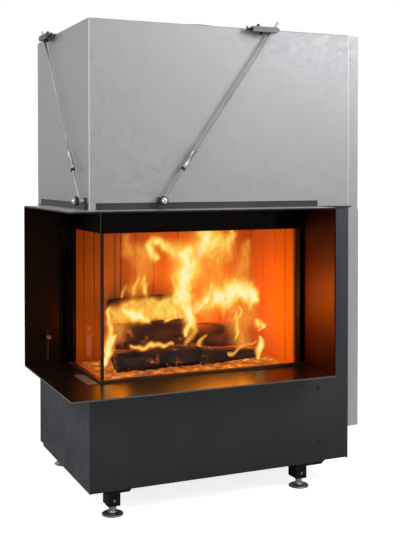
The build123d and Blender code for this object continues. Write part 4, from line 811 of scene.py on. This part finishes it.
rope_y, rope_z, rope_low, rope_high = -0.16515, 0.8803, 0.4075, 0.8660
rope_grey = black_finish("rope_fibre", (0.05, 0.045, 0.04), 0.85, 0.1, coarse_grain, 0.0008)
seals = grown("door_rope_seals", path_mesh(
    "seal_paths",
    ((-0.352, rope_y, rope_z), (0.351, rope_y, rope_z)),
    ((-0.34915, -0.162, rope_z), (-0.34915, 0.150, rope_z)),
    ((0.345, rope_y, rope_low), (0.345, rope_y, rope_high)),
    ((-0.36985, 0.15685, rope_low), (-0.36985, 0.15685, rope_high))), strand_tree,
    Step=0.004, Strands=5, Lay=0.022, Reach=0.0014, Strand=0.0014, Coat=rope_grey)
settle("door_rope_seals", seals, rope_grey, "door", ["door_seals"])
bead = bmesh.new()
bead_x, bead_y = -0.376, -0.192
bead_rim = ((0, 0), (0.0080, 0), (0.0070, 0.0038), (0.0038, 0.0070), (0, 0.0080))
for level in (rope_low, rope_high):
    bead.faces.new([bead.verts.new((bead_x + x, bead_y + y, level)) for x, y in bead_rim])
bead.verts.ensure_lookup_table()
corners = len(bead_rim)
low, high = bead.verts[:corners], bead.verts[corners:]
for i in range(corners):
    j = (i + 1) % corners
    bead.faces.new((low[i], low[j], high[j], high[i]))
bead_brown = black_finish("corner_bead", (0.035, 0.013, 0.006), 0.5, 0.1)
solid("glass_corner_bead", bead, bead_brown, "door")
joint_grey = black_finish("corner_joint", (0.05, 0.04, 0.033), 0.5, 0.3)
joint_size = (0.0036, 0.0003, 0.5300)
glue = bmesh.new()
put(glue, bmesh.ops.create_cube(glue, size=1.0)["verts"],
    at(-0.3781, -0.19175, 0.6700) @ Matrix.Diagonal((*joint_size, 1)))
solid("glass_corner_joint", glue, joint_grey, "door")


# Lifting gear, all out of sight: pressed pulleys of black plastic in the upper housing, and the
# two steel bars that balance the door.
weights = ("counterweight_right", "counterweight_rear")
dress(steel_finish("weight_iron", (0.09, 0.085, 0.08), 0.55, 0.7), *weights)
soften(block_edge, *weights)
dress(black_finish("pulley_plastic", (0.02, 0.02, 0.02), 0.4), "pulley_rear",
      "pulley_right_inner", "pulley_right_outer")


# A small plate of plain aluminium lies loose on the ledge beside the side pane. Nothing holds it
# and nothing is written on it.
dress(steel_finish("plate_aluminium", (0.10, 0.12, 0.13), 0.45, 0.5), "blank_plate")


# The fire in the photograph isn't part of the insert: split logs on an ember bed, flames and the
# light they throw on the lining are set dressing, so that the panes show what they show there.
def dressing(name, mesh, material):
    """A piece of the fire: in the picture, but not part of the object."""
    mesh.materials.append(material)
    mesh.shade_smooth()
    piece = shown(name, mesh)
    piece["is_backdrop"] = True
    return piece


charred, tree, shader, place = finish_of("charred_wood")
blocks = add(tree, "ShaderNodeTexVoronoi", {"Vector": stretched(tree, place, (60, 40, 80)),
                                            "Scale": 1.0}, feature="DISTANCE_TO_EDGE").outputs[0]
cracks = tones(tree, blocks, (0.0, white), (0.09, black))
patches = tones(tree, noise_in(tree, place, 17.0, 3.0), (0.57, black), (0.68, white))
hot = blend_colours(tree, 1.0, blend_colours(tree, 1.0, cracks, patches, "MULTIPLY"),
                    (1.0, 0.24, 0.03), "MULTIPLY")
soot = tones(tree, noise_in(tree, stretched(tree, place, (14, 50, 50)), 1.0, 4.0),
             (0.35, (0.006, 0.003, 0.0015)), (0.68, (0.06, 0.022, 0.008)))
set_shader(shader, Base_Color=soot, Roughness=0.9, Specular_IOR_Level=0.1, Emission_Color=hot,
           Emission_Strength=0.9)
relief(tree, shader, blocks, 0.6, 0.004)
# Each log is a bar of rounded square section from a start to an end, with its height, depth,
# taper and seed; two noises roughen its sides and a third its ends.
stations, spokes, squareness = 48, 30, 0.35
logs = bmesh.new()
for start, end, high, deep, taper, seed in (
        ((-0.289, -0.068, 0.436), (-0.004, -0.074, 0.440), 0.070, 0.075, 0.96, 3.1),
        ((-0.250, 0.010, 0.500), (0.012, 0.014, 0.506), 0.088, 0.080, 0.92, 7.7),
        ((0.026, 0.016, 0.490), (0.178, 0.006, 0.484), 0.080, 0.080, 0.95, 11.3),
        ((-0.002, -0.086, 0.436), (0.232, -0.060, 0.424), 0.064, 0.070, 0.42, 17.9),
        ((-0.246, 0.108, 0.580), (0.048, 0.110, 0.593), 0.070, 0.076, 0.96, 23.5)):
    start, end = Vector(start), Vector(end)
    last = None
    for i in range(stations + 1):
        share = i / stations
        ring = []
        for k in range(spokes):
            turn = 2 * math.pi * k / spokes
            c, s = math.cos(turn), math.sin(turn)
            spoke = Vector((0, math.copysign(abs(c) ** squareness, c) * deep / 2,
                            math.copysign(abs(s) ** squareness, s) * high / 2))
            spoke *= 1 + (taper - 1) * share
            spot = start.lerp(end, share) + spoke
            rough = 0.10 * noise.noise(spot * 20 + Vector((seed, 0, 0)))
            rough += 0.045 * noise.noise(spot * 90 + Vector((0, seed, 0)))
            shift = 0
            if i in (0, stations):
                shift = 0.012 * noise.noise(spot * 30 + Vector((0, 0, seed)))
            ring.append(logs.verts.new(spot + spoke * rough + Vector((shift, 0, 0))))
        for k in range(spokes if last else 0):
            logs.faces.new((last[k], last[k - 1], ring[k - 1], ring[k]))
        if not last:
            logs.faces.new(ring)
        last = ring
    logs.faces.new(last[::-1])
dressing("split_logs", mesh_of("split_logs", logs), charred)

coals, tree, shader, place = finish_of("glowing_embers")
ember = tones(tree, noise_in(tree, place, 38.0, 5.0, 0.6), (0.32, (0.06, 0.012, 0.002)),
              (0.52, (0.32, 0.075, 0.008)), (0.62, (0.55, 0.16, 0.015)), (0.78, (1.0, 0.5, 0.08)))
set_shader(shader, Base_Color=(0.025, 0.010, 0.006, 1), Roughness=0.9, Emission_Color=ember,
           Emission_Strength=1.5)
# The bed lies on the floor bricks in low lumps and thins out towards its edges.
bed_wide, bed_deep, bed_x, bed_y, bed_z = 0.64, 0.30, -0.022, -0.012, 0.4004
bed = bmesh.new()
bmesh.ops.create_grid(bed, x_segments=150, y_segments=70, size=0.5)
for vert in bed.verts:
    x, y = vert.co.x * bed_wide + bed_x, vert.co.y * bed_deep + bed_y
    edge = min(1.0, 9 * (0.5 - abs(vert.co.x)), 6 * (0.5 - abs(vert.co.y)))
    lumpy = 0.007 + 0.006 * noise.noise(Vector((x, y, 0)) * 40)
    lumpy += 0.002 * noise.noise(Vector((x, y, 3)) * 110)
    vert.co = (x, y, bed_z + max(0.0, lumpy) * edge)
dressing("ember_bed", mesh_of("ember_bed", bed), coals)

flame, tree, shader, place = finish_of("flame")
heat = add(tree, "ShaderNodeAttribute", attribute_name="burning").outputs["Fac"]
tongues = noise_in(tree, stretched(tree, place, (1.5, 1.5, 0.8)), 34.0, 3.0)
lively = sums(tree, "MULTIPLY", heat, spread(tree, tongues, 0.45, 1.45))
shine = tones(tree, lively, (0.0, (0.75, 0.11, 0.004)), (0.26, (1.0, 0.30, 0.03)),
              (0.5, (1.0, 0.46, 0.05)), (0.75, (1.0, 0.70, 0.12)), (0.97, (1.0, 0.92, 0.45)))
cover = spread(tree, lively, 0.0, 0.97, 0.06, 0.66)
fiery = add(tree, "ShaderNodeEmission", {"Color": shine, "Strength": 1.08})
through = add(tree, "ShaderNodeBsdfTransparent")
lit = add(tree, "ShaderNodeMixShader", {0: cover, 1: through.outputs[0], 2: fiery.outputs[0]})
fill(tree.nodes["Material Output"].inputs["Surface"], lit.outputs[0])


def smooth_path(points, steps=10):
    """A smooth path through points of any size, with some steps from each to the next."""
    ends = [points[0], *points, points[-1]]
    path = []
    for four in zip(ends, ends[1:], ends[2:], ends[3:]):
        for i in range(steps):
            t = i / steps
            path.append([0.5 * (2 * b + t * (c - a + t * (2 * a - 5 * b + 4 * c - d
                                                          + t * (3 * (b - c) + d - a))))
                         for a, b, c, d in zip(*four)])
    return path + [points[-1]]


def flame_sheet(name, level, licks, fading=0.58, faintest=0.03):
    """One upright sheet of flame; a lick is its strength and a path of (x, z, half width), mm."""
    wide, high = np.meshgrid(np.linspace(-345, 315, 221), np.linspace(388, 888, 168))
    bent = wide + 3.5 * np.sin(high / 15 + wide / 40) + 2.0 * np.sin(high / 6.5 - wide / 17 + 2)
    risen = high + 4.0 * np.cos(wide / 13 + high / 50) + 2.0 * np.cos(wide / 6 - high / 20 + 1)
    cold = np.ones_like(wide)
    for strength, path in licks:
        body = np.zeros_like(wide)
        for x, z, half in smooth_path(path):
            away = ((bent - x) ** 2 + (risen - z) ** 2) / half ** 2
            body = np.maximum(body, np.exp(-fading * away))
        cold *= 1 - strength * body
    heat = (1 - cold).ravel()
    deep = level + 6 * np.sin(wide / 45 + high / 30)
    spots = np.stack([wide, deep, high], axis=-1).reshape(-1, 3) / 1000
    rows, columns = wide.shape
    faces = [(k, k + 1, k + columns + 1, k + columns) for j in range(rows - 1)
             for k in range(j * columns, j * columns + columns - 1)
             if max(heat[k], heat[k + 1], heat[k + columns], heat[k + columns + 1]) > faintest]
    mesh = bpy.data.meshes.new(name)
    mesh.from_pydata(spots.tolist(), [], faces)
    mesh.attributes.new("burning", "FLOAT", "POINT").data.foreach_set("value", heat)
    sheet = dressing(name, mesh, flame)
    sheet.visible_shadow = False
    sheet.visible_diffuse = False


flame_sheet("front_flames", -95, (
    (0.85, ((-324, 437, 6), (-322, 480, 12), (-311, 519, 12), (-320, 558, 8), (-322, 598, 6),
            (-310, 623, 3))),
    (0.80, ((-331, 433, 4), (-329, 485, 6), (-315, 510, 6), (-294, 535, 2))),
    (0.60, ((-9, 407, 7), (-13, 443, 8), (3, 478, 7), (26, 509, 3))),
    (0.80, ((209, 543, 5), (230, 528, 12), (243, 517, 7), (230, 506, 3))),
    (1.00, ((233, 403, 4), (228, 434, 9), (238, 457, 11), (236, 478, 4))),
    (0.60, ((46, 407, 3), (81, 420, 4), (122, 438, 5), (163, 455, 4), (215, 472, 3))),
    (0.45, ((-154, 432, 2), (-116, 438, 4), (-82, 458, 4), (-48, 482, 4))),
    (0.75, ((-290, 408, 4), (-234, 392, 6), (-164, 392, 6), (-87, 397, 6), (11, 396, 5),
            (107, 402, 5), (194, 406, 3))),
    (0.80, ((-244, 485, 4), (-197, 482, 7), (-150, 485, 7), (-97, 483, 4)))))
flame_sheet("middle_flames", -40, (
    (1.00, ((-25, 499, 5), (-13, 563, 20), (-20, 609, 27), (-35, 656, 25), (-25, 706, 37),
            (-18, 742, 40), (-20, 775, 30), (-45, 780, 15))),
    (0.90, ((33, 588, 7), (50, 614, 12), (63, 637, 8), (73, 678, 3))),
    (1.00, ((-248, 608, 4), (-219, 584, 12), (-191, 571, 14), (-157, 556, 6))),
    (0.85, ((-59, 616, 11), (-60, 639, 10), (-61, 664, 3))),
    (0.80, ((-99, 554, 6), (-84, 562, 4), (-79, 573, 2))),
    (0.55, ((-25, 471, 6), (0, 497, 11), (5, 525, 8), (-3, 553, 7), (0, 571, 4))),
    (0.55, ((164, 472, 3), (174, 504, 5), (172, 537, 4), (161, 571, 3))),
    (0.55, ((179, 551, 3), (182, 574, 4), (171, 594, 2))),
    (0.50, ((122, 554, 2), (119, 578, 4), (127, 596, 2))),
    (0.42, ((211, 397, 21), (190, 456, 32), (179, 513, 37), (158, 571, 31))),
    (0.42, ((-271, 516, 19), (-262, 560, 28), (-229, 594, 33), (-176, 591, 29)))))
flame_sheet("rear_flames", 62, (
    (0.80, ((28, 717, 31), (-3, 761, 28), (-43, 791, 19), (-84, 813, 16), (-116, 814, 13),
            (-119, 788, 15), (-99, 760, 9))),
    (0.75, ((18, 708, 21), (49, 750, 23), (78, 782, 25), (101, 815, 26), (96, 844, 24),
            (85, 868, 16))),
    (0.50, ((80, 792, 16), (127, 819, 21), (165, 794, 24), (189, 808, 16), (202, 832, 9),
            (199, 856, 4))),
    (1.00, ((60, 563, 10), (91, 600, 18), (133, 607, 26), (186, 614, 32), (224, 627, 24),
            (267, 615, 25), (300, 588, 11))),
    (0.85, ((176, 595, 21), (200, 623, 24), (213, 647, 13), (208, 671, 3))),
    (0.50, ((-212, 597, 6), (-173, 609, 10), (-129, 611, 9), (-84, 604, 10), (-43, 607, 7))),
    (0.45, ((-227, 630, 4), (-215, 648, 7), (-205, 666, 2))),
    (0.45, ((-180, 637, 4), (-172, 665, 5), (-163, 688, 2))),
    (0.60, ((-131, 635, 7), (-139, 663, 8), (-139, 696, 2))),
    (0.62, ((-262, 548, 16), (-205, 560, 26), (-140, 556, 30), (-75, 560, 30), (-15, 566, 28))),
    (0.50, ((-255, 580, 16), (-190, 590, 19), (-120, 588, 20), (-60, 590, 18), (10, 590, 18))),
    (0.70, ((-27, 658, 5), (-27, 686, 6), (-22, 719, 2))),
    (0.42, ((-178, 651, 20), (-139, 714, 35), (-153, 771, 35), (-198, 791, 20), (-207, 837, 12))),
    (0.42, ((101, 570, 42), (128, 636, 48), (133, 699, 48), (154, 751, 43), (170, 799, 37),
            (197, 832, 21))),
    (0.42, ((257, 532, 33), (278, 589, 33), (240, 670, 33), (251, 742, 25), (267, 805, 12))),
    (0.42, ((-2, 548, 31), (8, 623, 46), (18, 694, 57), (49, 764, 62), (80, 820, 47)))))

for name, watts, radius, place in (("flame_lamp", 13.5, 0.15, (0.09, -0.03, 0.57)),
                                   ("ember_lamp", 1.5, 0.05, (-0.29, -0.04, 0.50))):
    light = bpy.data.lights.new(name, "POINT")
    light.energy = watts
    light.color = (1.0, 0.27, 0.006)
    light.shadow_soft_size = radius
    shown(name, light).location = place


# Colours are shown as they are lit, and the box of the finished model is measured.
bpy.context.scene.view_settings.view_transform = "Standard"
low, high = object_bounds()
